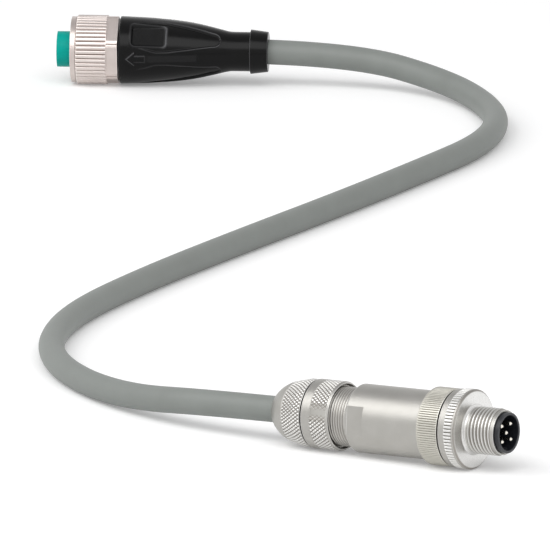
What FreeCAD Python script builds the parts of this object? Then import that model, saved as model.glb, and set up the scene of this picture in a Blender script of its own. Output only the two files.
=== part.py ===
"""Adapter cable: a moulded M12 socket and a metal M12 plug with a gland on one cable, laid in an S."""

import FreeCAD, Part
import math
import os
from types import SimpleNamespace

import Sketcher
from FreeCAD import Placement, Rotation, Vector

# Driving dimensions in millimetres. On each connector a station is measured along its axis,
# from the face where the cable leaves it towards the face that mates
SIZES = {
    # Clearances
    "running_gap": 0.07,
    "fixed_gap": 0.03,
    "turning_seam": 0.45,
    "loose_gap": 0.3,
    # Cable and its five cores
    "cable_radius": 3.35,
    "core_radius": 0.65,
    "core_circle": 1.7,
    # Contact pattern shared by both ends
    "contact_circle": 2.83,
    "pin_radius": 0.5,
    "screw_radius": 6.0,
    "screw_core_radius": 5.5,
    # Moulded grip of the socket end
    "collar_back_radius": 5.4,
    "collar_front_radius": 6.0,
    "collar_length": 4.8,
    "waist_radius": 5.3,
    "waist_length": 4.55,
    "waist_blend": 6.6,
    "blend_station": 11.05,
    "blend_radius": 5.5,
    "taper_low_station": 14.5,
    "taper_low_radius": 6.35,
    "taper_low_arc": 66.0,
    "taper_high_station": 25.0,
    "taper_high_radius": 8.2,
    "taper_high_arc": 139.0,
    "grip_length": 39.8,
    "grip_radius": 9.1,
    "grip_nose_radius": 4.75,
    "panel_depth": 0.6,
    "panel_middle_depth": 0.45,
    "panel_front_depth": 0.13,
    "panel_back": 12.7,
    "panel_front": 35.6,
    "panel_tip_radius": 1.85,
    "panel_half_width": 4.6,
    "panel_shoulder": 5.7,
    "window_back": 27.3,
    "window_front": 36.6,
    "window_half_width": 3.3,
    "window_floor": 7.4,
    "arrow_front_gap": 1.9,
    "arrow_head": 2.2,
    "arrow_shaft": 3.0,
    "arrow_half_width": 1.8,
    "arrow_shaft_half_width": 0.9,
    "arrow_top": 9.25,
    # Coupling nut of the socket end
    "nut_radius": 9.3,
    "nut_length": 12.8,
    "nut_hexagon": 8.5,
    "nut_hexagon_length": 3.1,
    "nut_wall": 2.95,
    "nut_band": 1.4,
    "nut_band_radius": 8.85,
    "rib_groove_depth": 0.45,
    "rib_groove_half_width": 0.38,
    # Contact insert of the socket end
    "socket_radius": 4.8,
    "socket_reach": 3.85,
    "socket_flange_radius": 5.2,
    "socket_flange": 1.2,
    "socket_stem_radius": 3.9,
    "socket_stem_depth": 7.0,
    "socket_key_width": 1.7,
    "socket_key_depth": 0.7,
    "socket_key_length": 6.5,
    "contact_wall": 0.3,
    "contact_length": 12.0,
    "contact_recess": 0.4,
    # Gland nut and what it presses on
    "gland_radius": 8.65,
    "gland_length": 11.0,
    "gland_back_radius": 4.5,
    "gland_shoulder_radius": 7.65,
    "gland_dome_length": 4.7,
    "gland_dome_radius": 10.0,
    "gland_taper_end": 8.9,
    "gland_wall": 4.5,
    "gland_hole_gap": 0.2,
    "washer_radius": 6.5,
    "washer_thickness": 0.6,
    "seal_radius": 5.8,
    "seal_length": 7.9,
    # Sleeve that the gland nut screws on
    "sleeve_radius": 8.8,
    "sleeve_length": 7.9,
    "sleeve_band": 2.5,
    "sleeve_stub_radius": 6.9,
    "sleeve_stub_reach": 5.7,
    "sleeve_floor": 2.4,
    "sleeve_wall": 1.22,
    "sleeve_flat": 8.5,
    "sleeve_lip_radius": 8.2,
    "sleeve_lip_depth": 0.95,
    "sleeve_bevel": 0.6,
    # Barrel
    "barrel_radius": 8.7,
    "barrel_length": 22.25,
    "barrel_neck_show": 4.8,
    "barrel_neck_bore": 6.4,
    "barrel_bore": 6.9,
    "barrel_bevel": 0.5,
    "barrel_flat": 7.9,
    "barrel_flat_length": 5.4,
    # Ring that carries the pin insert
    "carrier_radius": 9.85,
    "carrier_length": 6.0,
    "carrier_spigot_radius": 7.35,
    "carrier_spigot_length": 4.7,
    "carrier_counterbore": 6.3,
    "carrier_step": 2.5,
    "carrier_web": 4.3,
    "edge_break": 0.3,
    "carrier_seal_wire": 0.3,
    # Coupling ring with the outer M12 thread
    "coupling_radius": 10.1,
    "coupling_length": 4.85,
    "coupling_band": 1.75,
    "coupling_band_drop": 0.2,
    "coupling_bevel": 0.5,
    "tooth_gap_depth": 0.45,
    "tooth_gap_half_width": 0.13,
    "tooth_gap_half_root": 0.16,
    "coupling_lip": 4.1,
    "undercut_length": 1.5,
    "screw_length": 6.2,
    "screw_lead": 1.2,
    # Pin insert
    "insert_radius": 5.15,
    "insert_stem_radius": 4.7,
    "insert_tail_radius": 4.3,
    "insert_reach": 1.3,
    "insert_wall": 0.7,
    "insert_depth": 8.3,
    "insert_tail": 3.6,
    "key_width": 1.5,
    "key_height": 0.55,
    "clip_groove": 4.0,
    "clip_radius": 5.5,
    "clip_thickness": 0.8,
    "clip_opening": 2.4,
    "pin_recess": 0.6,
    "pin_cup_radius": 0.75,
    "pin_cup_length": 4.5,
    "sheath_reach": 25.0,
}

# How the two ends lie on the floor: where the cable leaves each of them, in millimetres,
# how far each is turned from the picture's horizontal and how far the socket is rolled, in degrees
SOCKET_EXIT = (-2.95, 237.56)
SOCKET_TURN = 4.3
SOCKET_ROLL = -5
PLUG_EXIT = (0.21, -209.59)
PLUG_TURN = 32.8

# Hand-chosen points of the cable between its two exits, from the socket to the plug
ROUTE = [
    (21.3, 235.7, 8.7),
    (43.9, 222.4, 4.6),
    (55.0, 198.7, 3.35),
    (58.6, 171.4, 3.35),
    (53.1, 142.1, 3.35),
    (39.2, 113.0, 3.35),
    (15.8, 66.9, 3.35),
    (-10.7, 18.1, 3.35),
    (-34.7, -28.2, 3.35),
    (-52.4, -68.8, 3.35),
    (-58.9, -102.0, 3.35),
    (-57.2, -129.9, 3.35),
    (-48.8, -155.5, 3.35),
    (-36.3, -176.9, 4.4),
    (-19.2, -197.2, 7.7),
]
BEND_SHARE = 0.45

ROUND = 1
HOLLOW = -1
CONTACTS = 5
RIBS = 48
COUPLING_TEETH = 72
OUTER_CONTACTS = 4
HALF_TURN = 180
FULL_TURN = 360
# Radius of a leaf panel's tip as a multiple of its half width there
PANEL_TIP = 1.02
# Half a side of an eight-sided ring's section as a share of half its thickness
EIGHTH = math.tan(math.pi / 8)
# Direction of one corner of the nut's hexagon, from the top, in degrees
HEXAGON_TURN = -5
# How far the sleeve's and the barrel's wrench flats are turned up from the horizontal, in degrees
SLEEVE_FLAT_TURN = 15
BARREL_FLAT_TURN = 7
# Where the cores bend, as shares of the way from the sheath to the solder cups
CORE_BENDS = (0.3, 0.7)


class Size:
    """A length that carries both its value and the formula kept in the document."""

    def __init__(self, value, formula):
        self.value = float(value)
        self.formula = formula

    def __float__(self):
        return self.value

    def join(self, other, sign, value):
        return Size(value, f"({self.formula} {sign} {as_size(other).formula})")

    def __add__(self, other):
        return self.join(other, "+", self.value + float(other))

    def __sub__(self, other):
        return self.join(other, "-", self.value - float(other))

    def __mul__(self, other):
        return self.join(other, "*", self.value * float(other))

    def __truediv__(self, other):
        return self.join(other, "/", self.value / float(other))

    def __neg__(self):
        return Size(-self.value, f"(-{self.formula})")


def as_size(value):
    """A size as it is, or a plain number as a size."""
    return value if isinstance(value, Size) else Size(value, repr(float(value)))


doc = FreeCAD.newDocument("adapter_cable")
sheet = doc.addObject("Spreadsheet::Sheet", "sizes")
for row, (name, value) in enumerate(SIZES.items(), start=1):
    sheet.set(f"A{row}", name)
    sheet.set(f"B{row}", str(value))
    sheet.setAlias(f"B{row}", name)
doc.recompute()
mm = SimpleNamespace(**{name: Size(value, f"sizes.{name}") for name, value in SIZES.items()})

pieces = []


def origin_plane(body, role):
    """One of the body's own three planes."""
    return next(part for part in body.Origin.OriginFeatures if part.Role == role)


def new_sketch(body, name, role, height=None):
    """An empty sketch on one of the body's planes, or a bound height above it."""
    sketch = body.newObject("Sketcher::SketchObject", name)
    sketch.AttachmentSupport = [(origin_plane(body, role), "")]
    sketch.MapMode = "FlatFace"
    if height is not None:
        sketch.AttachmentOffset = Placement(Vector(0, 0, float(height)), Rotation())
        sketch.setExpression("AttachmentOffset.Base.z", height.formula)
    return sketch


def bind(sketch, kind, geometry, point, size):
    """Hold a point of the sketch at a bound distance from the origin, or on the axis where it is zero."""
    if float(size) == 0:
        axis = -2 if kind == "DistanceX" else -1
        sketch.addConstraint(Sketcher.Constraint("PointOnObject", geometry, point, axis))
        return
    number = sketch.addConstraint(Sketcher.Constraint(kind, -1, 1, geometry, point, float(size)))
    if isinstance(size, Size):
        sketch.setExpression(f"Constraints[{number}]", size.formula)


def arc_between(start, end, radius, side):
    """The arc from start to end, which bulges to the right of the way there, or to the left if hollow."""
    chord = end - start
    half = chord.Length / 2
    rise = float(radius) - math.sqrt(float(radius) ** 2 - half**2)
    right = Vector(chord.y, -chord.x, 0).normalize()
    return Part.Arc(start, start + chord * 0.5 + right * (rise * side), end)


def draw_outline(sketch, points):
    """A closed outline of (across, along) points, with a radius and a side where an arc leads on from one."""
    places = [Vector(float(point[0]), float(point[1]), 0) for point in points]
    ends = []
    for number, point in enumerate(points):
        start = places[number]
        end = places[(number + 1) % len(points)]
        if len(point) == 2:
            sketch.addGeometry(Part.LineSegment(start, end))
            ends.append((1, 2))
            continue
        sketch.addGeometry(arc_between(start, end, point[2], point[3]))
        ends.append((1, 2) if point[3] == ROUND else (2, 1))
        radius = sketch.addConstraint(Sketcher.Constraint("Radius", number, float(point[2])))
        sketch.setExpression(f"Constraints[{radius}]", point[2].formula)
    for number, point in enumerate(points):
        following = (number + 1) % len(points)
        joined = Sketcher.Constraint("Coincident", number, ends[number][1], following, ends[following][0])
        sketch.addConstraint(joined)
    for number, point in enumerate(points):
        bind(sketch, "DistanceX", number, ends[number][0], point[0])
        bind(sketch, "DistanceY", number, ends[number][0], point[1])


def draw_circle(sketch, radius, across=0, along=0):
    """A circle of bound radius and centre."""
    centre = Vector(float(across), float(along), 0)
    number = sketch.addGeometry(Part.Circle(centre, Vector(0, 0, 1), float(radius)))
    bind(sketch, "DistanceX", number, 3, across)
    bind(sketch, "DistanceY", number, 3, along)
    held = sketch.addConstraint(Sketcher.Constraint("Radius", number, float(radius)))
    sketch.setExpression(f"Constraints[{held}]", radius.formula)


def facing_sketch(body, name, turn_angle, distance):
    """A sketch on a plane beside the axis, turned about it from the body's -Y side, a bound distance out."""
    sketch = new_sketch(body, name, "XZ_Plane")
    angle = math.radians(turn_angle)
    out = (distance * math.sin(angle), distance * math.cos(angle))
    place = Vector(float(out[0]), 0, float(out[1]))
    sketch.AttachmentOffset = Placement(place, Rotation(Vector(0, 1, 0), turn_angle))
    sketch.setExpression("AttachmentOffset.Base.x", out[0].formula)
    sketch.setExpression("AttachmentOffset.Base.z", out[1].formula)
    return sketch


def draw_box(sketch, half_width, back, front):
    """A rectangle centred across, between two stations."""
    draw_outline(sketch, [(half_width, back), (half_width, front), (-half_width, front), (-half_width, back)])


def polygon(corner_radius, sides, first_angle):
    """The corners of a regular polygon about the origin."""
    angles = [math.radians(first_angle + FULL_TURN * side / sides) for side in range(sides)]
    return [(corner_radius * math.cos(angle), corner_radius * math.sin(angle)) for angle in angles]


def new_body(label):
    """A body that becomes one piece of the product."""
    body = doc.addObject("PartDesign::Body", label)
    body.Label = label
    return body


def turned(body, name, points, kind="Revolution"):
    """Metal or plastic turned about the body's Z axis from a (radius, station) outline."""
    sketch = new_sketch(body, f"{name}_outline", "XZ_Plane")
    draw_outline(sketch, points)
    feature = body.newObject(f"PartDesign::{kind}", name)
    feature.Profile = sketch
    feature.ReferenceAxis = (sketch, ["V_Axis"])
    feature.Angle = FULL_TURN
    body.Tip = feature
    return feature


def cut(body, name, sketch, depth=None, both_ways=False, reverse=False):
    """A pocket from the sketch, through everything where no depth is given."""
    pocket = body.newObject("PartDesign::Pocket", name)
    pocket.Profile = sketch
    if depth is None:
        pocket.Type = "ThroughAll"
    else:
        pocket.Length = float(depth)
        pocket.setExpression("Length", as_size(depth).formula)
    pocket.Midplane = both_ways
    pocket.Reversed = reverse
    body.Tip = pocket
    return pocket


def ring_of(body, name, feature, copies):
    """The feature repeated evenly about the body's Z axis."""
    pattern = body.newObject("PartDesign::PolarPattern", name)
    pattern.Originals = [feature]
    pattern.Axis = (origin_plane(body, "Z_Axis"), [""])
    pattern.Angle = FULL_TURN
    pattern.Occurrences = copies
    body.Tip = pattern
    return pattern


def grooves(body, name, rim, profile, copies, front, length):
    """Even grooves along a rim: each has a depth, a half width at the rim and a half width at its root."""
    depth, half_width, half_root = profile
    sketch = new_sketch(body, f"{name}_outline", "XY_Plane", front)
    top = rim + depth
    root = rim - depth
    outline = [(top, -half_width * 2), (top, half_width * 2)]
    outline += [(root, half_root), (root, -half_root)] if float(half_root) else [(root, 0)]
    draw_outline(sketch, outline)
    ring_of(body, f"{name}s", cut(body, name, sketch, depth=length), copies)


def lay_out(exit_point, height, direction, up):
    """Where a connector lies: its Z axis along the direction, its X axis upwards, its origin at the exit."""
    side = direction.cross(up)
    place = Vector(exit_point[0], exit_point[1], height)
    return Placement(place, Rotation(up, side, direction, "ZXY"))


def keep(piece, place):
    """Put a finished piece in its place and on the list of pieces."""
    piece.Placement = place
    pieces.append(piece)


def tube_path(points):
    """Straight runs joined by tangent arcs, each as large as its two runs allow, and the arcs' radii."""
    edges = []
    radii = []
    start = points[0]
    for before, corner, after in zip(points, points[1:], points[2:]):
        back = (before - corner).normalize()
        ahead = (after - corner).normalize()
        reach = BEND_SHARE * min(corner.distanceToPoint(before), corner.distanceToPoint(after))
        half_turn = (math.pi - back.getAngle(ahead)) / 2
        radius = reach / math.tan(half_turn)
        first = corner + back * reach
        last = corner + ahead * reach
        inward = (back + ahead).normalize()
        middle = corner + inward * (radius / math.cos(half_turn) - radius)
        edges.append(Part.LineSegment(start, first).toShape())
        edges.append(Part.Arc(first, middle, last).toShape())
        radii.append(radius)
        start = last
    edges.append(Part.LineSegment(start, points[-1]).toShape())
    return Part.Wire(edges), radii


def tube(label, points, radius, place):
    """A round cord along the points, with its volume compared with section times length."""
    path, radii = tube_path(points)
    heading = (points[1] - points[0]).normalize()
    ring = Part.Wire([Part.Circle(points[0], heading, float(radius)).toShape()])
    solid = path.makePipeShell([ring], True, True)
    expected = math.pi * float(radius) ** 2 * path.Length
    share = abs(solid.Volume) / expected
    if abs(share - 1) > 0.01:
        raise ValueError(f"{label} fills {share:.3f} of its section times its length")
    piece = doc.addObject("Part::Feature", label)
    piece.Label = label
    piece.Shape = solid
    keep(piece, place)
    return path, radii


def around(radius, number, first_angle=45):
    """Across and along of one of the four outer contacts, or zero for the middle one."""
    if number >= OUTER_CONTACTS:
        return 0, 0
    angle = math.radians(first_angle + number * FULL_TURN / OUTER_CONTACTS)
    return radius * math.cos(angle), radius * math.sin(angle)


# Stations of the socket end
waist_end = mm.collar_length + mm.waist_length
nut_back = mm.grip_length + mm.turning_seam
nut_front = nut_back + mm.nut_length
nut_shoulder = nut_back + mm.nut_wall
rib_front = nut_front - mm.nut_band
flange_back = nut_shoulder + mm.turning_seam
flange_front = flange_back + mm.socket_flange
socket_front = nut_front + mm.socket_reach
stem_back = mm.grip_length - mm.socket_stem_depth
nose_end = nut_shoulder - mm.loose_gap
contact_radius = mm.pin_radius + mm.contact_wall

# Stations of the plug end
sleeve_back = mm.gland_length + mm.turning_seam
sleeve_front = sleeve_back + mm.sleeve_length
neck_back = sleeve_back + mm.sleeve_floor
barrel_back = sleeve_front + mm.barrel_neck_show
barrel_front = barrel_back + mm.barrel_length
carrier_front = barrel_front + mm.carrier_length
coupling_back = carrier_front + mm.turning_seam
coupling_front = coupling_back + mm.coupling_length
lip_front = coupling_back + mm.coupling_lip
insert_shoulder = lip_front + mm.turning_seam
screw_back = coupling_front + mm.undercut_length
screw_front = screw_back + mm.screw_length
sleeve_lead_front = screw_front + mm.screw_lead
insert_front = sleeve_lead_front + mm.insert_reach
cavity_floor = insert_front - mm.insert_depth
spigot_back = barrel_front - mm.carrier_spigot_length
step_station = carrier_front - mm.carrier_step
web_back = step_station - mm.carrier_web
insert_back = web_back - mm.insert_tail
stub_back = sleeve_back - mm.sleeve_stub_reach
washer_back = mm.gland_wall + mm.loose_gap
washer_front = washer_back + mm.washer_thickness
seal_back = washer_front + mm.loose_gap
seal_front = seal_back + mm.seal_length
sleeve_bore = mm.seal_radius + mm.fixed_gap
neck_bore = mm.sleeve_radius - mm.sleeve_wall
neck_radius = neck_bore - mm.fixed_gap
insert_bore = mm.insert_radius - mm.insert_wall

# Where the two ends lie: the socket on its nut, the plug on its sleeve and its coupling ring
turn = math.radians(SOCKET_TURN)
socket_axis = Vector(-math.cos(turn), math.sin(turn), 0)
upright = Vector(0, 0, 1)
socket_place = lay_out(SOCKET_EXIT, float(mm.nut_radius), socket_axis, upright)
socket_place = socket_place * Placement(Vector(), Rotation(Vector(0, 0, 1), SOCKET_ROLL))

sleeve_rest = float(sleeve_back + mm.edge_break)
coupling_rest = float(coupling_back + mm.coupling_band)
pitch = math.atan((float(mm.coupling_radius) - float(mm.sleeve_radius)) / (coupling_rest - sleeve_rest))
turn = math.radians(PLUG_TURN)
level = Vector(math.cos(turn), -math.sin(turn), 0)
plug_axis = level * math.cos(pitch) + upright * math.sin(pitch)
plug_up = upright * math.cos(pitch) - level * math.sin(pitch)
plug_height = float(mm.sleeve_radius) * math.cos(pitch) - sleeve_rest * math.sin(pitch)
plug_place = lay_out(PLUG_EXIT, plug_height, plug_axis, plug_up)


def build_grip():
    """The black moulding: collar, waist and a swelling body with four sunk leaf panels."""

    def outline(drops):
        """The turned profile from the waist to the front, each radius smaller than the skin's by its drop."""
        low, high, front = drops
        return [
            (0, waist_end),
            (mm.waist_radius - low, waist_end, mm.waist_blend, HOLLOW),
            (mm.blend_radius - low, mm.blend_station),
            (mm.taper_low_radius - low, mm.taper_low_station, mm.taper_low_arc, ROUND),
            (mm.taper_high_radius - high, mm.taper_high_station, mm.taper_high_arc, ROUND),
            (mm.grip_radius - front, mm.grip_length),
            (0, mm.grip_length),
        ]

    def leaf(body, name, axis_turn):
        """A leaf outline cut right through the skin, which opens two facing panels."""
        sketch = new_sketch(body, f"{name}_outline", "XZ_Plane")
        turned_plane = Placement(Vector(0, 0, 0), Rotation(Vector(0, 1, 0), axis_turn))
        sketch.AttachmentOffset = turned_plane
        tip = mm.panel_back + mm.panel_tip_radius
        widest = mm.panel_front - mm.panel_shoulder
        draw_outline(
            sketch,
            [
                (mm.panel_tip_radius, tip),
                (mm.panel_half_width, widest),
                (mm.window_half_width, mm.panel_front),
                (-mm.window_half_width, mm.panel_front),
                (-mm.panel_half_width, widest),
                (-mm.panel_tip_radius, tip, mm.panel_tip_radius * PANEL_TIP, ROUND),
            ],
        )
        cut(body, name, sketch, both_ways=True)

    skin = new_body("grip_skin")
    turned(skin, "skin", outline((0, 0, 0)))
    leaf(skin, "panels_up", 45)
    leaf(skin, "panels_down", -45)

    grip = new_body("grip")
    turned(grip, "core", outline((mm.panel_depth, mm.panel_middle_depth, mm.panel_front_depth)))
    turned(
        grip,
        "collar_and_nose",
        [
            (0, 0),
            (mm.collar_back_radius, 0),
            (mm.collar_front_radius, mm.collar_length),
            (mm.waist_radius, mm.collar_length),
            (mm.waist_radius, waist_end),
            (mm.socket_stem_radius, waist_end),
            (mm.socket_stem_radius, mm.grip_length),
            (mm.grip_nose_radius, mm.grip_length),
            (mm.grip_nose_radius, nose_end),
            (0, nose_end),
        ],
    )
    joined = grip.newObject("PartDesign::Boolean", "skin_on_core")
    joined.Type = "Fuse"
    joined.setObjects([skin])
    grip.Tip = joined

    bore = new_sketch(grip, "stem_bore_outline", "XY_Plane", nose_end)
    draw_circle(bore, mm.socket_stem_radius + mm.fixed_gap)
    cut(grip, "stem_bore", bore, depth=nose_end - stem_back)

    window = facing_sketch(grip, "window_outline", 45, mm.window_floor)
    draw_box(window, mm.window_half_width, mm.window_back, mm.window_front)
    cut(grip, "window", window, reverse=True)

    arrow = facing_sketch(grip, "arrow_outline", 0, mm.arrow_top)
    tip = mm.grip_length - mm.arrow_front_gap
    shoulder = tip - mm.arrow_head
    tail = shoulder - mm.arrow_shaft
    draw_outline(
        arrow,
        [
            (0, tip),
            (mm.arrow_half_width, shoulder),
            (mm.arrow_shaft_half_width, shoulder),
            (mm.arrow_shaft_half_width, tail),
            (-mm.arrow_shaft_half_width, tail),
            (-mm.arrow_shaft_half_width, shoulder),
            (-mm.arrow_half_width, shoulder),
        ],
    )
    pad = grip.newObject("PartDesign::Pad", "arrow")
    pad.Profile = arrow
    pad.setExpression("Length", mm.panel_depth.formula)
    pad.Reversed = True
    grip.Tip = pad
    keep(grip, socket_place)


def build_socket_insert():
    """The coloured contact carrier: a plain nose, a flange behind the nut's wall and a stem in the grip."""
    insert = new_body("socket_insert")
    turned(
        insert,
        "carrier",
        [
            (0, stem_back),
            (mm.socket_stem_radius, stem_back),
            (mm.socket_stem_radius, flange_back),
            (mm.socket_flange_radius, flange_back),
            (mm.socket_flange_radius, flange_front),
            (mm.socket_radius, flange_front),
            (mm.socket_radius, socket_front),
            (0, socket_front),
        ],
    )
    for number in range(CONTACTS):
        hole = new_sketch(insert, f"contact_hole_{number + 1}_outline", "XY_Plane", socket_front)
        draw_circle(hole, contact_radius + mm.fixed_gap, *around(mm.contact_circle, number))
        depth = mm.contact_recess + mm.contact_length + mm.fixed_gap
        cut(insert, f"contact_hole_{number + 1}", hole, depth=depth)
    key = new_sketch(insert, "keyway_outline", "XY_Plane", socket_front)
    draw_outline(
        key,
        [
            (-mm.socket_radius - mm.socket_key_depth, mm.socket_key_width / 2),
            (-mm.socket_radius - mm.socket_key_depth, -mm.socket_key_width / 2),
            (mm.socket_key_depth - mm.socket_radius, -mm.socket_key_width / 2),
            (mm.socket_key_depth - mm.socket_radius, mm.socket_key_width / 2),
        ],
    )
    cut(insert, "keyway", key, depth=mm.socket_key_length)
    keep(insert, socket_place)


def build_socket_contacts():
    """Five tubular contacts, each in its own hole of the insert."""
    top = socket_front - mm.contact_recess
    bottom = top - mm.contact_length
    for number in range(CONTACTS):
        contact = new_body(f"socket_contact_{number + 1}")
        across, along = around(mm.contact_circle, number)
        barrel = new_sketch(contact, f"socket_contact_{number + 1}_outline", "XY_Plane", bottom)
        draw_circle(barrel, contact_radius, across, along)
        draw_circle(barrel, mm.pin_radius + mm.fixed_gap, across, along)
        pad = contact.newObject("PartDesign::Pad", f"socket_contact_{number + 1}_tube")
        pad.Profile = barrel
        pad.setExpression("Length", mm.contact_length.formula)
        contact.Tip = pad
        keep(contact, socket_place)


def build_ring(label, ring_radius, half_wire, station, place):
    """A rubber ring of eight-sided section about the axis."""
    ring = new_body(label)
    short = half_wire * EIGHTH
    steps = [(1, -1), (1, 1), (-1, 1), (-1, -1)]
    outline = []
    for across, along in steps:
        corners = [(half_wire * across, short * along), (short * across, half_wire * along)]
        outline += corners if across == along else corners[::-1]
    outline = [(ring_radius + across, station + along) for across, along in outline]
    turned(ring, f"{label}_turned", outline)
    keep(ring, place)


def build_nut():
    """The socket's coupling nut: a hexagon collar, a ribbed rim, a plain front band and a threaded bore."""
    nut = new_body("socket_nut")
    turned(
        nut,
        "socket_nut_turned",
        [
            (mm.grip_nose_radius + mm.running_gap, nut_back),
            (mm.nut_radius, nut_back),
            (mm.nut_radius, rib_front - mm.edge_break),
            (mm.nut_band_radius, rib_front),
            (mm.nut_band_radius, nut_front - mm.edge_break),
            (mm.nut_band_radius - mm.edge_break, nut_front),
            (mm.screw_core_radius, nut_front),
            (mm.screw_core_radius, nut_shoulder),
            (mm.grip_nose_radius + mm.running_gap, nut_shoulder),
        ],
    )
    hexagon = new_sketch(nut, "hexagon_outline", "XY_Plane", nut_back)
    corner = mm.nut_hexagon / math.cos(math.radians(30))
    draw_outline(hexagon, polygon(corner, 6, HEXAGON_TURN))
    draw_circle(hexagon, mm.nut_radius + mm.nut_hexagon)
    cut(nut, "hexagon", hexagon, depth=mm.nut_hexagon_length, reverse=True)
    profile = (mm.rib_groove_depth, mm.rib_groove_half_width, 0)
    length = mm.nut_length - mm.nut_band - mm.nut_hexagon_length
    grooves(nut, "rib_groove", mm.nut_radius, profile, RIBS, rib_front, length)
    keep(nut, socket_place)


def build_gland_nut():
    """The domed nut that squeezes the seal onto the cable."""
    nut = new_body("gland_nut")
    stub_bore = mm.sleeve_stub_radius + mm.running_gap
    turned(
        nut,
        "gland_nut_turned",
        [
            (mm.cable_radius + mm.gland_hole_gap, 0),
            (mm.gland_back_radius, 0, mm.gland_dome_radius, ROUND),
            (mm.gland_shoulder_radius, mm.gland_dome_length),
            (mm.gland_radius, mm.gland_taper_end),
            (mm.gland_radius, mm.gland_length - mm.edge_break),
            (mm.gland_radius - mm.edge_break, mm.gland_length),
            (stub_bore, mm.gland_length),
            (stub_bore, mm.gland_wall),
            (mm.cable_radius + mm.gland_hole_gap, mm.gland_wall),
        ],
    )
    keep(nut, plug_place)


def build_thrust_washer():
    """The slip ring between the turning nut and the seal."""
    washer = new_body("thrust_washer")
    hole = mm.cable_radius + mm.gland_hole_gap
    turned(
        washer,
        "thrust_washer_turned",
        [
            (hole, washer_back),
            (mm.washer_radius, washer_back),
            (mm.washer_radius, washer_front),
            (hole, washer_front),
        ],
    )
    keep(washer, plug_place)


def build_gland_seal():
    """The rubber bush round the cable inside the sleeve."""
    seal = new_body("gland_seal")
    hole = mm.cable_radius + mm.fixed_gap
    turned(
        seal,
        "gland_seal_turned",
        [
            (hole, seal_back),
            (mm.seal_radius - mm.edge_break, seal_back),
            (mm.seal_radius, seal_back + mm.edge_break),
            (mm.seal_radius, seal_front),
            (hole, seal_front),
        ],
    )
    keep(seal, plug_place)


def flats(body, name, distance, back, front, lift):
    """A pair of wrench flats between two stations, the near one turned up from the horizontal."""
    for side, turn_angle in (("near", HALF_TURN - lift), ("far", -lift)):
        sketch = facing_sketch(body, f"{name}_{side}_outline", turn_angle, distance)
        draw_box(sketch, distance, back, front)
        cut(body, f"{name}_{side}", sketch, reverse=True)


def build_sleeve():
    """The second knurled ring: a threaded stub for the gland nut and a threaded bore for the neck."""
    sleeve = new_body("gland_sleeve")
    turned(
        sleeve,
        "gland_sleeve_turned",
        [
            (sleeve_bore, stub_back),
            (mm.sleeve_stub_radius, stub_back),
            (mm.sleeve_stub_radius, sleeve_back),
            (mm.sleeve_radius - mm.edge_break, sleeve_back),
            (mm.sleeve_radius, sleeve_back + mm.edge_break),
            (mm.sleeve_radius, sleeve_front - mm.sleeve_bevel),
            (mm.sleeve_radius - mm.edge_break, sleeve_front),
            (mm.sleeve_lip_radius, sleeve_front),
            (mm.sleeve_lip_radius, sleeve_front - mm.sleeve_lip_depth),
            (neck_bore, sleeve_front - mm.sleeve_lip_depth),
            (neck_bore, neck_back),
            (sleeve_bore, neck_back),
        ],
    )
    flat_back = sleeve_back + mm.sleeve_band
    flats(sleeve, "sleeve_flat", mm.sleeve_flat, flat_back, sleeve_front, SLEEVE_FLAT_TURN)
    keep(sleeve, plug_place)


def build_barrel():
    """The long tube: a threaded neck at the back, wrench flats and a bore for the carrier ring."""
    barrel = new_body("barrel")
    spigot_bore = mm.carrier_spigot_radius + mm.fixed_gap
    turned(
        barrel,
        "barrel_turned",
        [
            (mm.barrel_neck_bore, neck_back + mm.fixed_gap),
            (neck_radius, neck_back + mm.fixed_gap),
            (neck_radius, barrel_back),
            (mm.barrel_radius - mm.barrel_bevel, barrel_back),
            (mm.barrel_radius, barrel_back + mm.barrel_bevel),
            (mm.barrel_radius, barrel_front),
            (spigot_bore, barrel_front),
            (spigot_bore, spigot_back - mm.fixed_gap),
            (mm.barrel_bore, spigot_back - mm.fixed_gap),
            (mm.barrel_bore, barrel_back),
            (mm.barrel_neck_bore, barrel_back),
        ],
    )
    flat_front = barrel_back + mm.barrel_flat_length
    flats(barrel, "barrel_flat", mm.barrel_flat, barrel_back, flat_front, BARREL_FLAT_TURN)
    keep(barrel, plug_place)


def build_carrier_ring():
    """The broad ring: a spigot in the barrel and a stepped bore that holds the pin insert."""
    ring = new_body("carrier_ring")
    groove_radius = mm.carrier_spigot_radius - mm.carrier_seal_wire * 2
    groove_back = barrel_front - mm.carrier_seal_wire * 3
    turned(
        ring,
        "carrier_ring_turned",
        [
            (mm.carrier_counterbore, spigot_back),
            (mm.carrier_spigot_radius, spigot_back),
            (mm.carrier_spigot_radius, groove_back),
            (groove_radius, groove_back),
            (groove_radius, barrel_front),
            (mm.carrier_radius - mm.edge_break, barrel_front),
            (mm.carrier_radius, barrel_front + mm.edge_break),
            (mm.carrier_radius, carrier_front - mm.edge_break),
            (mm.carrier_radius - mm.edge_break, carrier_front),
            (mm.insert_stem_radius + mm.fixed_gap, carrier_front),
            (mm.insert_stem_radius + mm.fixed_gap, step_station),
            (mm.insert_tail_radius + mm.fixed_gap, step_station),
            (mm.insert_tail_radius + mm.fixed_gap, web_back),
            (mm.carrier_counterbore, web_back),
        ],
    )
    keep(ring, plug_place)


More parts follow.
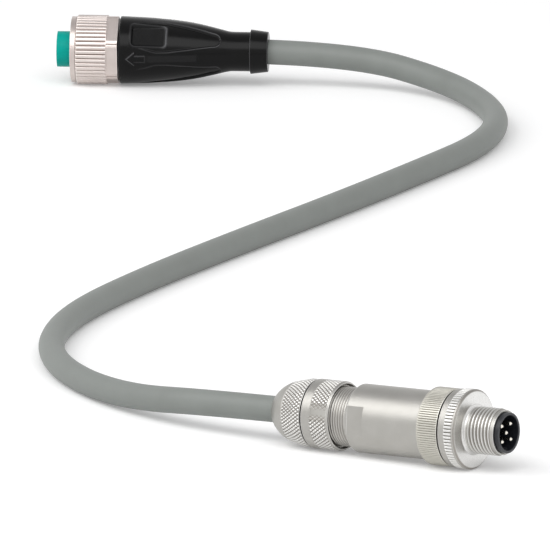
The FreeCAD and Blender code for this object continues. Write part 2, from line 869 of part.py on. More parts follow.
def build_pin_insert():
    """The black pin carrier: an open cup round the pins, a shoulder, a stem and a tail with a clip groove."""
    insert = new_body("pin_insert")
    clip_front = web_back - mm.fixed_gap
    clip_back = clip_front - mm.clip_thickness - mm.fixed_gap * 2
    turned(
        insert,
        "pin_insert_turned",
        [
            (0, insert_back),
            (mm.insert_tail_radius, insert_back),
            (mm.insert_tail_radius, clip_back),
            (mm.clip_groove, clip_back),
            (mm.clip_groove, clip_front),
            (mm.insert_tail_radius, clip_front),
            (mm.insert_tail_radius, step_station),
            (mm.insert_stem_radius, step_station),
            (mm.insert_stem_radius, insert_shoulder),
            (mm.insert_radius, insert_shoulder),
            (mm.insert_radius, insert_front),
            (insert_bore, insert_front),
            (insert_bore, cavity_floor),
            (0, cavity_floor),
        ],
    )
    rib = new_sketch(insert, "key_outline", "XY_Plane", cavity_floor)
    draw_outline(
        rib,
        [
            (-insert_bore - mm.insert_wall / 2, mm.key_width / 2),
            (-insert_bore - mm.insert_wall / 2, -mm.key_width / 2),
            (mm.key_height - insert_bore, -mm.key_width / 2),
            (mm.key_height - insert_bore, mm.key_width / 2),
        ],
    )
    pad = insert.newObject("PartDesign::Pad", "key")
    pad.Profile = rib
    pad.setExpression("Length", (mm.insert_depth - mm.insert_reach).formula)
    insert.Tip = pad
    for number in range(CONTACTS):
        hole = new_sketch(insert, f"pin_hole_{number + 1}_outline", "XY_Plane", cavity_floor)
        draw_circle(hole, mm.pin_radius + mm.fixed_gap, *around(mm.contact_circle, number))
        cut(insert, f"pin_hole_{number + 1}", hole)
    keep(insert, plug_place)


def build_insert_clip():
    """The open spring ring that locks the insert's tail in the carrier ring."""
    clip = new_body("insert_clip")
    front = web_back - mm.fixed_gap * 2
    back = front - mm.clip_thickness
    inner = mm.clip_groove + mm.fixed_gap
    turned(
        clip,
        "insert_clip_turned",
        [(inner, back), (mm.clip_radius, back), (mm.clip_radius, front), (inner, front)],
    )
    opening = new_sketch(clip, "clip_opening_outline", "XY_Plane", front)
    draw_outline(
        opening,
        [
            (0, mm.clip_opening / 2),
            (0, -mm.clip_opening / 2),
            (mm.clip_radius * 2, -mm.clip_opening / 2),
            (mm.clip_radius * 2, mm.clip_opening / 2),
        ],
    )
    cut(clip, "clip_opening", opening)
    keep(clip, plug_place)


def build_coupling_ring():
    """The ring that turns on the insert: a toothed flange and the hollow M12 screw in front of it."""
    ring = new_body("coupling_ring")
    band = mm.coupling_radius - mm.coupling_band_drop
    turned(
        ring,
        "coupling_ring_turned",
        [
            (mm.insert_stem_radius + mm.running_gap, coupling_back),
            (band, coupling_back),
            (band, coupling_back + mm.coupling_band),
            (mm.coupling_radius, coupling_back + mm.coupling_band),
            (mm.coupling_radius, coupling_front - mm.coupling_bevel),
            (mm.coupling_radius - mm.coupling_bevel, coupling_front),
            (mm.screw_core_radius, coupling_front),
            (mm.screw_core_radius, screw_back),
            (mm.screw_radius, screw_back),
            (mm.screw_radius, screw_front),
            (mm.screw_radius - mm.edge_break, screw_front),
            (mm.screw_radius - mm.edge_break, sleeve_lead_front),
            (mm.insert_radius + mm.running_gap, sleeve_lead_front),
            (mm.insert_radius + mm.running_gap, lip_front),
            (mm.insert_stem_radius + mm.running_gap, lip_front),
        ],
    )
    profile = (mm.tooth_gap_depth, mm.tooth_gap_half_width, mm.tooth_gap_half_root)
    length = mm.coupling_length - mm.coupling_band
    grooves(ring, "tooth_gap", mm.coupling_radius, profile, COUPLING_TEETH, coupling_front, length)
    keep(ring, plug_place)


def build_pins():
    """Five turned pins: a rounded tip in the cup and a solder cup behind the insert."""
    tip = insert_front - mm.pin_recess
    cup_back = insert_back - mm.pin_cup_length
    for number in range(CONTACTS):
        name = f"plug_pin_{number + 1}"
        pin = new_body(name)
        turned(
            pin,
            f"{name}_turned",
            [
                (0, cup_back),
                (mm.pin_cup_radius, cup_back),
                (mm.pin_cup_radius, insert_back - mm.fixed_gap),
                (mm.pin_radius, insert_back - mm.fixed_gap),
                (mm.pin_radius, tip - mm.pin_radius / 2),
                (mm.pin_radius / 2, tip),
                (0, tip),
            ],
        )
        across, along = around(float(mm.contact_circle), number)
        keep(pin, plug_place * Placement(Vector(across, along, 0), Rotation()))


def build_cores():
    """Five insulated cores from the cut end of the sheath to the pins' solder cups."""
    start = float(mm.sheath_reach)
    end = float(insert_back - mm.pin_cup_length)
    span = end - start
    for number in range(OUTER_CONTACTS):
        near = around(float(mm.core_circle), number)
        far = around(float(mm.contact_circle), number)
        points = [
            Vector(*near, start),
            Vector(*near, start + span * CORE_BENDS[0]),
            Vector(*far, start + span * CORE_BENDS[1]),
            Vector(*far, end),
        ]
        tube(f"core_{number + 1}", points, mm.core_radius, plug_place)
    middle = doc.addObject("Part::Cylinder", f"core_{CONTACTS}")
    middle.Label = f"core_{CONTACTS}"
    middle.setExpression("Radius", mm.core_radius.formula)
    middle.setExpression("Height", (insert_back - mm.pin_cup_length - mm.sheath_reach).formula)
    keep(middle, plug_place * Placement(Vector(0, 0, start), Rotation()))


def build_cable():
    """The cable between the two ends, and the straight end of its sheath inside the gland."""
    sheath = doc.addObject("Part::Cylinder", "sheath_end")
    sheath.Label = "sheath_end"
    sheath.setExpression("Radius", mm.cable_radius.formula)
    sheath.setExpression("Height", mm.sheath_reach.formula)
    keep(sheath, plug_place)
    route = [socket_place.Base, *(Vector(*point) for point in ROUTE), plug_place.Base]
    path, radii = tube("cable", route, mm.cable_radius, Placement())
    print("cable length", round(path.Length, 1))
    print("bend radii", [round(radius, 1) for radius in radii])


def check_document():
    """Every object sound and every piece a valid solid."""
    doc.recompute()
    for item in doc.Objects:
        if {"Invalid", "Error"} & set(item.State):
            raise ValueError(f"{item.Label} did not build")
    for piece in pieces:
        if piece.Shape.isNull() or not piece.Shape.isValid() or not piece.Shape.Solids:
            raise ValueError(f"{piece.Label} is not a sound solid")


def write_pieces():
    """Each piece in a file of its own."""
    os.makedirs("parts", exist_ok=True)
    for piece in pieces:
        piece.Shape.exportStep(f"parts/{piece.Label}.step")


build_grip()
build_socket_insert()
build_socket_contacts()
seal_wire = (mm.screw_core_radius - mm.running_gap - mm.socket_radius - mm.fixed_gap) / 2
seal_ring = mm.socket_radius + mm.fixed_gap + seal_wire
seal_station = flange_front + seal_wire + mm.fixed_gap
build_ring("socket_seal_ring", seal_ring, seal_wire, seal_station, socket_place)
build_nut()
build_cable()
build_gland_nut()
build_thrust_washer()
build_gland_seal()
build_sleeve()
build_barrel()
build_carrier_ring()
seal_wire = mm.carrier_seal_wire - mm.fixed_gap
seal_ring = mm.carrier_spigot_radius - mm.carrier_seal_wire + mm.fixed_gap / 2
seal_station = barrel_front - mm.carrier_seal_wire * 1.5
build_ring("carrier_seal_ring", seal_ring, seal_wire, seal_station, plug_place)
build_pin_insert()
build_insert_clip()
build_coupling_ring()
build_pins()
build_cores()
check_document()
write_pieces()

box = FreeCAD.BoundBox()
for piece in pieces:
    if piece.Label != "cable":
        box.add(piece.Shape.optimalBoundingBox(True, False))
corners = (box.XMin, box.XMax, box.YMin, box.YMax, box.ZMin, box.ZMax)
print("pieces", len(pieces))
print("ends' box", [round(value, 2) for value in corners])
print("middle", round(box.Center.x, 3), round(box.Center.y, 3))
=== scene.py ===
"""Looks for the adapter cable: a moulded M12 socket, a grey cable and a metal M12 plug with a gland."""

import math

import bmesh
import bpy
import numpy as np
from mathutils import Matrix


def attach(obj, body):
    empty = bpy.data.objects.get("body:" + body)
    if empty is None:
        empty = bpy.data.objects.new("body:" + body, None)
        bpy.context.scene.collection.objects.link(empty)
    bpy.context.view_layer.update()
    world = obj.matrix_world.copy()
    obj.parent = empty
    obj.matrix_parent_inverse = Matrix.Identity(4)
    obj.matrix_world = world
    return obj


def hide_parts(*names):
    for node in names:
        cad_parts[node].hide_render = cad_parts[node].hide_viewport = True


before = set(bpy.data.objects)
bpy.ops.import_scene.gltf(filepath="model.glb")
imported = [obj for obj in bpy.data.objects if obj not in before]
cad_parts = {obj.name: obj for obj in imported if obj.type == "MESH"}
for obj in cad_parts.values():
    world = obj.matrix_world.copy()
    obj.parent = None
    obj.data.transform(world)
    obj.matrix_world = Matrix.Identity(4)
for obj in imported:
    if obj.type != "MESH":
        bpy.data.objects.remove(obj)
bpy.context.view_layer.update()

MM = 0.001
FULL_TURN = 2 * math.pi

# The route of the cable in metres: the points the CAD tube follows, from the grip to the gland nut
ROUTE = np.array(
    [
        (-0.00295, 0.23756, 0.0093),
        (0.0213, 0.2357, 0.0087),
        (0.0439, 0.2224, 0.0046),
        (0.0550, 0.1987, 0.00335),
        (0.0586, 0.1714, 0.00335),
        (0.0531, 0.1421, 0.00335),
        (0.0392, 0.1130, 0.00335),
        (0.0158, 0.0669, 0.00335),
        (-0.0107, 0.0181, 0.00335),
        (-0.0347, -0.0282, 0.00335),
        (-0.0524, -0.0688, 0.00335),
        (-0.0589, -0.1020, 0.00335),
        (-0.0572, -0.1299, 0.00335),
        (-0.0488, -0.1555, 0.00335),
        (-0.0363, -0.1769, 0.0044),
        (-0.0192, -0.1972, 0.0077),
        (0.00021, -0.20959, 0.0084396),
    ]
)
CABLE_RADIUS = 0.00335

# The picture: looking along +Y, twelve degrees down, through a long lens
ELEVATION = math.radians(12)
DISTANCE = 6.342
FIELD = 0.142593
TARGET = (-0.00123, -0.00724, 0.0)
SENSOR = 36


def end_frame(exit_point, turn, pitch, roll, forward):
    """Where a connector lies: the cable's exit, then its up, side and axis directions in the row frame."""
    turn, pitch, roll = math.radians(turn), math.radians(pitch), math.radians(roll)
    level = np.array([forward * math.cos(turn), -forward * math.sin(turn), 0.0])
    upright = np.array([0.0, 0.0, 1.0])
    axis = level * math.cos(pitch) + upright * math.sin(pitch)
    up = upright * math.cos(pitch) - level * math.sin(pitch)
    side = np.cross(axis, up)
    rolled_up = up * math.cos(roll) + side * math.sin(roll)
    return np.array(exit_point), rolled_up, np.cross(axis, rolled_up), axis


SOCKET = end_frame(ROUTE[0], turn=4.3, pitch=0, roll=-5, forward=-1)
PLUG = end_frame(ROUTE[-1], turn=32.8, pitch=1.73773, roll=0, forward=1)


def smooth(value):
    """Zero below 0, one above 1 and an even S between: 3x squared less 2x cubed."""
    value = np.clip(value, 0, 1)
    return value * value * (3 - 2 * value)


def within(value, low, high, soft):
    """One between low and high: a rising smooth step times a falling one, each a soft width wide."""
    return smooth((value - low) / soft + 0.5) * smooth((high - value) / soft + 0.5)


def ridge(value, width):
    """A bell that is one where the value is zero: e to the power of minus value over width squared."""
    return np.exp(-((value / width) ** 2))


def section(corners, step=1.0, fillet=0.12):
    """A profile of (radius, station) corners in mm, each rounded, with a third column of painted light.

    A rounded corner is the parabola between two points a fillet away from it, which has both edges as
    tangents. The third column is painted highlight above zero on edges that stand out and painted shade
    below zero in corners that go in, and it grows with the corner's angle. A corner may carry a third
    number, the step along the edge that starts there.
    """
    steps = [corner[2] if len(corner) > 2 else step for corner in corners]
    places = np.array([corner[:2] for corner in corners], float)
    closed = places[0, 0] > 0
    share = np.linspace(0, 1, 5)[:, None]
    # Painted highlight on outer edges and painted shade in inner corners, shaped over a corner's five
    # points
    light_and_wear_share = np.array([0, 0.7, 1, 0.7, 0])[:, None]
    count = len(places)
    rounded = []
    for number in range(count):
        corner = places[number]
        if not closed and number in (0, count - 1):
            rounded.append(np.array([[*corner, 0]]))
            continue
        back = places[number - 1] - corner
        ahead = places[(number + 1) % count] - corner
        reach = min(fillet, 0.45 * np.hypot(*back), 0.45 * np.hypot(*ahead))
        back, ahead = back / np.hypot(*back), ahead / np.hypot(*ahead)
        bend = back[1] * ahead[0] - back[0] * ahead[1]
        path = corner + (1 - share) ** 2 * back * reach + share**2 * ahead * reach
        rounded.append(np.hstack([path, light_and_wear_share * bend]))
    runs = []
    for number in range(count if closed else count - 1):
        start, end = rounded[number][-1], rounded[(number + 1) % count][0]
        pieces = max(1, math.ceil(np.hypot(*(end - start)[:2]) / steps[number]))
        along = np.linspace(0, 1, pieces + 1)[1:-1, None]
        runs += [rounded[number], start + (end - start) * along]
    if not closed:
        runs.append(rounded[-1])
    return np.concatenate(runs)


def bulge(start, end, radius, count, step):
    """Corners along an arc that bulges away from the axis, from one (radius, station) point to another.

    The arc's middle lies square to the middle of the chord, inwards by the root of the radius squared
    less half the chord squared. Each corner carries the same step.
    """
    start, end = np.array(start, float), np.array(end, float)
    chord = end - start
    half = np.hypot(*chord) / 2
    outward = np.array([chord[1], -chord[0]]) / (2 * half)
    middle = (start + end) / 2 - outward * math.sqrt(radius**2 - half**2)
    first = math.atan2(*(start - middle)[::-1])
    last = math.atan2(*(end - middle)[::-1])
    angles = np.linspace(first, last, count)
    corners = [middle + radius * np.array([math.cos(turn), math.sin(turn)]) for turn in angles]
    return [(*corner, step) for corner in corners]


def turned(name, profile, place, material, relief, turns):
    """A surface turned about a connector's axis.

    A point at radius r, station s and angle a lies at exit + axis s + (up cos a + side sin a) r.
    relief takes the arrays r, s and a, and gives the upward, sideways and along places back, with a mask
    of painted highlight on its crests (above zero) and painted shade in its hollows (below zero). A
    profile that starts on the axis is closed by a pole at both ends.
    """
    angle = np.arange(turns) * FULL_TURN / turns
    rings = len(profile)
    r, s, light_and_wear_share = (np.repeat(profile[:, column : column + 1], turns, axis=1) for column in range(3))
    high, wide, s, mask = relief(r, s, np.repeat(angle[None], rings, axis=0))
    exit_point, up, side, axis = place
    points = exit_point + (s[..., None] * axis + high[..., None] * up + wide[..., None] * side) * MM
    number = np.arange(rings * turns).reshape(rings, turns)
    poled = profile[0, 0] == 0
    low, top = (number[:-1], number[1:]) if poled else (number, np.roll(number, -1, axis=0))
    quads = np.stack([low, np.roll(low, -1, 1), np.roll(top, -1, 1), top], -1).reshape(-1, 4)
    around = np.broadcast_to(np.arange(turns) / turns, low.shape)
    decimetres = profile[:, 1:2] * MM * 10 + np.zeros((rings, turns))
    along, beyond = decimetres[: len(low)], np.roll(decimetres, -1, axis=0)[: len(low)]
    step = 1 / turns
    corners = [(around, along), (around + step, along), (around + step, beyond), (around, beyond)]
    spots = np.stack([np.stack(corner, -1) for corner in corners], 2).reshape(-1, 2)
    # Painted highlight above zero and painted shade below zero, from the profile's corners and the relief
    light_and_wear = (light_and_wear_share + mask).ravel()
    return grid_piece(name, points.reshape(-1, 3), quads, spots, light_and_wear, material, poled * turns)


def grid_piece(name, points, quads, spots, light_and_wear, material, pole_points):
    """A mesh object of the points and quads, with a map of turn and station, its painted light and closed
    poles.
    """
    mesh = bpy.data.meshes.new(name)
    mesh.vertices.add(len(points))
    mesh.vertices.foreach_set("co", points.ravel())
    mesh.loops.add(quads.size)
    mesh.loops.foreach_set("vertex_index", quads.ravel())
    mesh.polygons.add(len(quads))
    mesh.polygons.foreach_set("loop_start", np.arange(0, quads.size, 4))
    mesh.update(calc_edges=True)
    layer = mesh.uv_layers.new(name="turn_and_station")
    layer.data.foreach_set("uv", spots.ravel())
    # The attribute holds the painted highlight and painted shade for the finishes
    mask = mesh.attributes.new("light_and_wear", "FLOAT", "POINT")
    mask.data.foreach_set("value", np.clip(light_and_wear, -1, 1))
    mesh.shade_smooth()
    if pole_points:
        shape = bmesh.new()
        shape.from_mesh(mesh)
        shape.verts.ensure_lookup_table()
        ends = shape.verts[:pole_points] + shape.verts[-pole_points:]
        bmesh.ops.remove_doubles(shape, verts=ends, dist=1e-7)
        shape.to_mesh(mesh)
        shape.free()
    mesh.materials.append(material)
    piece = bpy.data.objects.new(name, mesh)
    bpy.context.collection.objects.link(piece)
    return piece


def dress(piece, body, slot, *nodes):
    """Let the piece ride on its body and stand for its CAD nodes. The slot is not used."""
    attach(piece, body)
    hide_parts(*nodes)


# Cuts in a turned surface, each from 0 on the crests to 1 in the grooves over turn and station
def straight_grooves(a, count, width):
    """Grooves along the axis: deepest where a triangle wave of the turn is zero, gone at the width."""
    wave = np.abs((a * count / FULL_TURN + 0.5) % 1 - 0.5) * 2
    return smooth((width - wave) / width)


def screw_thread(s, a, pitch, sharpness=1):
    """A rounded thread: a cosine of station less turn raised to a power, one full wave a pitch."""
    return (0.5 - 0.5 * np.cos(FULL_TURN * (s / pitch - a / FULL_TURN))) ** sharpness


def diamond_knurl(s, a, count, length, steepness=2.2):
    """Two sets of V grooves that cross and leave long diamonds.

    Each set is a triangle wave of turn plus or minus station, and the deeper of the two holds.
    """
    left = np.abs((a * count / FULL_TURN + s / length) % 1 - 0.5) * 2
    right = np.abs((a * count / FULL_TURN - s / length) % 1 - 0.5) * 2
    middle = steepness / 2
    return np.maximum(smooth(left * steepness - middle), smooth(right * steepness - middle))


def crest_light_and_groove_shade(zone, cut, crest, groove):
    """Painted light inside a zone: the crest's painted highlight where nothing is cut away, down to minus
    the groove's painted shade.
    """
    return zone * (crest - (crest + groove) * cut)


def upright_parts(r, a):
    """The upward and sideways parts of a radius at an angle."""
    return r * np.cos(a), r * np.sin(a)


# A distance beyond every surface, in mm, at which nothing is cut flat
NO_FLAT = 99


def flattened(high, wide, lift, distance):
    """Both parts cut back to two flats at a distance from the axis, the near one turned up by lift.

    How far a point lies out square to the flats is held between plus and minus the distance, and what
    is over comes off its parts.
    """
    turn = math.radians(90 - lift)
    out = high * math.cos(turn) + wide * math.sin(turn)
    over = out - np.clip(out, -distance, distance)
    return high - over * math.cos(turn), wide - over * math.sin(turn), over != 0


def turn_from(a, degrees):
    """The turn counted from an angle, between minus and plus half a turn."""
    return (a - math.radians(degrees) + math.pi) % FULL_TURN - math.pi


# The grip, in mm: collar, waist, and radius over station from the waist to the nut
COLLAR_RADIUS, COLLAR_LENGTH = 6.0, 4.8
WAIST_RADIUS, WAIST_END = 5.3, 9.35
SKIN_BACK, SKIN_FRONT, GRIP_FRONT = 10, 39.5, 39.8
GRIP_STATIONS = np.array([WAIST_END, 10.1, 11.05, 12.7, 14.5, 19.2, 25.0, 31.8, GRIP_FRONT])
GRIP_RADII = np.array([WAIST_RADIUS, 5.33, 5.5, 5.9, 6.35, 7.37, 8.2, 8.76, 9.1])
STEM_RADIUS, STEM_FRONT = 4.75, 42.9
BORE_RADIUS, BORE_BACK = 3.93, 32.8

# Its four leaf panels: a half circle as the tip, then half width and depth over station
TIP_MIDDLE, TIP_RADIUS = 14.55, 1.85
LEAF_STATIONS = [TIP_MIDDLE, 21.2, 26.6, 29.9, 36.4]
LEAF_HALF_WIDTHS = [TIP_RADIUS, 3.4, 4.35, 4.6, 3.4]
DEPTH_STATIONS = [12.7, 15.5, 22.0, 29.5, 36.0]
LEAF_DEPTHS = [0.45, 0.62, 0.62, 0.42, 0.0]
LEAF_MIDDLES = (45, 135, 225, 315)
LEAF_SLOPE_WIDTH, RIM_OFFSET, RIM_WIDTH, RIM_HEIGHT = 0.42, 0.2, 0.13, 0.05
# Strength of the painted highlight on the panel rims over station, strongest at the tips
RIM_HIGHLIGHT_STATIONS = [13.0, 18.0, 26.0, 36.0]
RIM_HIGHLIGHTS = [1.1, 0.6, 0.4, 0.0]

# The window in the near upper panel and the arrow on the near ridge
WINDOW_MIDDLE, WINDOW_HALF_LENGTH, WINDOW_HALF_WIDTH = 31.95, 4.65, 3.3
WINDOW_CORNER, WINDOW_FLOOR, WINDOW_RIM_HEIGHT, WINDOW_TURN = 1.0, 7.4, 0.14, -45
ARROW_TIP, HEAD_BACK, SHAFT_BACK = 37.9, 35.7, 32.7
HEAD_HALF_WIDTH, SHAFT_HALF_WIDTH, ARROW_HEIGHT, ARROW_TURN = 1.8, 0.9, 0.2, -90
STRIP_BACK, STRIP_FRONT, STRIP_DEPTH = 19.0, 32.3, 0.1


def through(stations, radii, at):
    """The smooth curve through the radii: cubic pieces with the slopes of the neighbours' chords."""
    slopes = np.gradient(radii, stations)
    piece = np.clip(np.searchsorted(stations, at) - 1, 0, len(stations) - 2)
    width = stations[piece + 1] - stations[piece]
    share = (at - stations[piece]) / width
    square, cube = share**2, share**3
    start = (2 * cube - 3 * square + 1) * radii[piece] + (cube - 2 * square + share) * width * slopes[piece]
    end = (3 * square - 2 * cube) * radii[piece + 1] + (cube - square) * width * slopes[piece + 1]
    return start + end


def rounded_box(along, across, half_long, half_wide, corner):
    """Distance outside a rounded rectangle, negative inside it.

    It is the distance to a rectangle that is smaller by the corner's radius, less that radius.
    """
    lengthwise = np.abs(along) - half_long + corner
    crosswise = np.abs(across) - half_wide + corner
    outside = np.hypot(np.maximum(lengthwise, 0), np.maximum(crosswise, 0))
    inside = np.minimum(np.maximum(lengthwise, crosswise), 0)
    return outside + inside - corner


def leaf_panels(skin_radius, s, a, skin):
    """The radius with the four leaf panels sunk in, and the painted highlight along their rims.

    A panel is as wide as a circle at its tip, and then follows straight runs over the station. The edge
    is how far a point lies inside that outline: the half width less the radius times the sine of the turn.
    The depth fades to the front, and the rims' painted highlight is strongest at the tips.
    """
    tip = np.sqrt(np.clip(TIP_RADIUS**2 - (TIP_MIDDLE - s) ** 2, 0, None))
    half = np.where(s < TIP_MIDDLE, tip, np.interp(s, LEAF_STATIONS, LEAF_HALF_WIDTHS))
    depth = np.interp(s, DEPTH_STATIONS, LEAF_DEPTHS)
    rim_highlight = np.interp(s, RIM_HIGHLIGHT_STATIONS, RIM_HIGHLIGHTS)
    r, mask = skin_radius, np.zeros(skin_radius.shape)
    for middle in LEAF_MIDDLES:
        turn = turn_from(a, middle)
        edge = half - np.abs(skin_radius * np.sin(turn))
        facing = (np.abs(turn) < 1.4) * (s > 12.65) * skin
        rim = ridge(edge + RIM_OFFSET, RIM_WIDTH) * facing
        r = r - depth * smooth(edge / LEAF_SLOPE_WIDTH + 0.5) * facing
        r = r + RIM_HEIGHT * rim * np.minimum(depth * 3, 1)
        # Painted highlight along each rim
        mask = mask + rim * rim_highlight
    return r, mask


def sunk_window(r, mask, skin_radius, s, a, skin):
    """The window: a flat floor inside a raised rim, whose painted highlight is strongest on the cable's
    side.

    The outline is a rounded rectangle over the skin. The floor is flat, because its radius is one
    distance over the cosine of the turn.
    """
    turn = turn_from(a, WINDOW_TURN)
    ahead = np.abs(turn) < 1.2
    across = skin_radius * np.sin(turn)
    outside = rounded_box(s - WINDOW_MIDDLE, across, WINDOW_HALF_LENGTH, WINDOW_HALF_WIDTH, WINDOW_CORNER)
    rim = ridge(outside - 0.1, 0.3) * ahead * skin
    sunk = smooth(-outside / 0.4)
    floor = WINDOW_FLOOR / np.cos(np.where(ahead, turn, 0))
    lowered = (r + WINDOW_RIM_HEIGHT * rim) * (1 - sunk) + np.minimum(floor, r) * sunk
    # Painted highlight on the rim, strongest on the cable's side
    light_and_wear_share = rim * (0.18 + 1.1 * smooth((29 - s) / 2.5))
    return np.where(skin & ahead, lowered, r), mask * (1 - sunk * ahead) + light_and_wear_share


def raised_arrow(r, mask, skin_radius, s, a, skin):
    """The arrow, with its painted highlight strongest round the head, and the slightly sunk strip behind
    it.

    The head's half width falls evenly to the tip, and the shaft's stays the same.
    """
    turn = turn_from(a, ARROW_TURN)
    across = np.abs(skin_radius * np.sin(turn))
    near = (np.abs(turn) < 1.2) * skin
    head = HEAD_HALF_WIDTH * (ARROW_TIP - s) / (ARROW_TIP - HEAD_BACK)
    edge = np.minimum(np.where(s > HEAD_BACK, head, SHAFT_HALF_WIDTH) - across, s - SHAFT_BACK)
    outline = ridge(edge - 0.08, 0.14) * near
    strip = within(s, STRIP_BACK, STRIP_FRONT, 0.6) * smooth((SHAFT_HALF_WIDTH - across) / 0.3 + 0.5) * near
    r = r + ARROW_HEIGHT * smooth(edge / 0.16 + 0.5) * near - STRIP_DEPTH * strip
    # Painted highlight on the arrow's outline, strongest round the head, and a faint painted sheen on the
    # strip
    return r, mask + outline * np.where(s > HEAD_BACK - 0.1, 1.1, 0.3) + 0.08 * strip


def grip_relief(r, s, a):
    """Leaf panels sunk between ridges, the window and the arrow, on the outer skin alone."""
    skin = (s > SKIN_BACK) & (s < SKIN_FRONT) & (r > WAIST_RADIUS + 0.01)
    shaped, mask = leaf_panels(r, s, a, skin)
    shaped, mask = sunk_window(shaped, mask, r, s, a, skin)
    shaped, mask = raised_arrow(shaped, mask, r, s, a, skin)
    return (*upright_parts(shaped, a), s, mask)


def make_grip(material):
    """The moulded grip: collar, waist, the swelling body in fine steps, the stem and the bore."""
    collar_edge = (COLLAR_RADIUS, COLLAR_LENGTH)
    collar_face = [(0, 0), (5.4, 0), collar_edge, (WAIST_RADIUS, COLLAR_LENGTH), (WAIST_RADIUS, WAIST_END)]
    collar = section(collar_face, step=0.5, fillet=0.2)
    body_front = GRIP_FRONT - 0.25
    stations = np.linspace(WAIST_END + 0.1, body_front, 175)
    body = np.column_stack([through(GRIP_STATIONS, GRIP_RADII, stations), stations, 0 * stations])
    front_corners = [
        (0, SKIN_FRONT),
        (8.9, SKIN_FRONT),
        (9.09, GRIP_FRONT),
        (STEM_RADIUS, GRIP_FRONT),
        (STEM_RADIUS, STEM_FRONT),
        (BORE_RADIUS, STEM_FRONT),
        (BORE_RADIUS, BORE_BACK),
        (0, BORE_BACK),
    ]
    front = section(front_corners, step=0.8)
    nose = front[front[:, 1] > body_front]
    bore = front[(front[:, 0] < BORE_RADIUS + 0.01) & (front[:, 1] < body_front)][1:]
    profile = np.concatenate([collar[:-1], body, nose, bore])
    grip = turned("moulded_grip", profile, SOCKET, material, grip_relief, turns=360)
    dress(grip, "cable_assembly", "moulding", "grip")


# The socket nut, in mm
NUT_BACK, NUT_FRONT = 40.25, 53.05
NUT_RADIUS, NUT_LIP_RADIUS, NUT_BORE = 9.3, 8.85, 5.5
NUT_HOLE, NUT_SHOULDER = 4.82, 43.2
HEXAGON_DISTANCE, HEXAGON_FRONT, HEXAGON_TURN = 8.5, 43.3, 5
SCORE_WIDTH, SCORE_DEPTH = 0.012, 0.12
RIBS_BACK, RIBS_FRONT = 43.45, 51.5
RIB_COUNT, RIB_DEPTH, RIB_SHARPNESS = 48, 0.45, 2.2
BORE_THREAD_BACK, BORE_THREAD_FRONT, BORE_THREAD_DEPTH = 43.6, 52.8, 0.3
M12_PITCH = 1.0


def socket_nut_relief(r, s, a):
    """Rounded ribs behind a plain band, a hexagon collar at the back and a thread in the bore.

    A valley is one less the size of a sine, to a power, so it is narrow and the ribs are round. The crests
    get painted highlight and the valleys painted shade. The hexagon holds the radius to a distance over the
    cosine of the turn, with a scored line along each edge, painted dark as shade.
    """
    outer = r > 7
    ribs = within(s, RIBS_BACK, RIBS_FRONT, 0.3) * outer
    valley = (1 - np.abs(np.sin(RIB_COUNT / 2 * a))) ** RIB_SHARPNESS
    # Painted highlight on the rib crests and painted shade in the valleys
    mask = crest_light_and_groove_shade(ribs, valley, 0.4, 0.9)
    r = r - RIB_DEPTH * valley * ribs
    sixth = FULL_TURN / 6
    turn = np.abs((a + math.radians(HEXAGON_TURN)) % sixth - sixth / 2)
    collar = outer & (s < HEXAGON_FRONT)
    r = np.where(collar, np.minimum(r, HEXAGON_DISTANCE / np.cos(turn)), r)
    score = ridge(turn - sixth / 2, SCORE_WIDTH) * collar
    r = r - SCORE_DEPTH * score
    bore = (r < 6) * within(s, BORE_THREAD_BACK, BORE_THREAD_FRONT, 0.3)
    r = r + BORE_THREAD_DEPTH * screw_thread(s, a, M12_PITCH) * bore
    # The scored lines carry painted shade, a dark line along each hexagon edge
    return (*upright_parts(r, a), s, mask - score)


def make_socket_nut(material):
    """The ribbed coupling nut, bored through behind a shoulder."""
    profile = section(
        [
            (NUT_HOLE, NUT_BACK),
            (NUT_RADIUS, NUT_BACK, 0.5),
            (NUT_RADIUS, 43.1, 0.1),
            (NUT_RADIUS, 43.7, 0.5),
            (NUT_RADIUS, 51.1, 0.12),
            (NUT_RADIUS, 51.35),
            (NUT_LIP_RADIUS, 51.65),
            (NUT_LIP_RADIUS, NUT_FRONT),
            (NUT_BORE, NUT_FRONT, 0.25),
            (NUT_BORE, NUT_SHOULDER),
            (NUT_HOLE, NUT_SHOULDER),
        ],
        step=0.6,
    )
    nut = turned("ribbed_socket_nut", profile, SOCKET, material, socket_nut_relief, turns=720)
    dress(nut, "socket_nut", "nut_metal", "socket_nut")


# Gland nut and sleeve, in mm
KNURL_COUNT, KNURL_LENGTH, KNURL_DEPTH = 56, 1.3, 0.28
DOME_BACK_RADIUS, DOME_FRONT_RADIUS, DOME_END, DOME_CURVE = 4.5, 7.65, 4.7, 10
GLAND_RADIUS, GLAND_FRONT, GLAND_HOLE, GLAND_BORE = 8.65, 11.0, 3.55, 6.97
SLEEVE_BACK, SLEEVE_BAND, SLEEVE_SHOULDER, SLEEVE_FRONT = 5.75, 11.45, 13.85, 19.35
SLEEVE_RADIUS, SLEEVE_STEM, SLEEVE_HOLE, SLEEVE_BORE, SLEEVE_LIP_BORE = 8.8, 6.9, 5.83, 7.58, 8.2
SLEEVE_FLAT, SLEEVE_FLAT_LIFT, SLEEVE_FLAT_BACK = 8.5, 15, 13.95
GLAND_KNURL_BACK, GLAND_KNURL_FRONT = 4.85, 10.75
SLEEVE_KNURL_BACK, SLEEVE_KNURL_FRONT = 13.95, 18.75


def knurled(r, s, a, back, front, inside):
    """A radius with the diamond knurl cut in between two stations and beyond a radius, and its painted
    light.
    """
    zone = within(s, back, front, 0.12) * (r > inside)
    cut = diamond_knurl(s, a, KNURL_COUNT, KNURL_LENGTH)
    # Painted highlight on the diamonds and painted shade in the grooves
    return r - KNURL_DEPTH * cut * zone, crest_light_and_groove_shade(zone, cut, 0.9, 0.8)


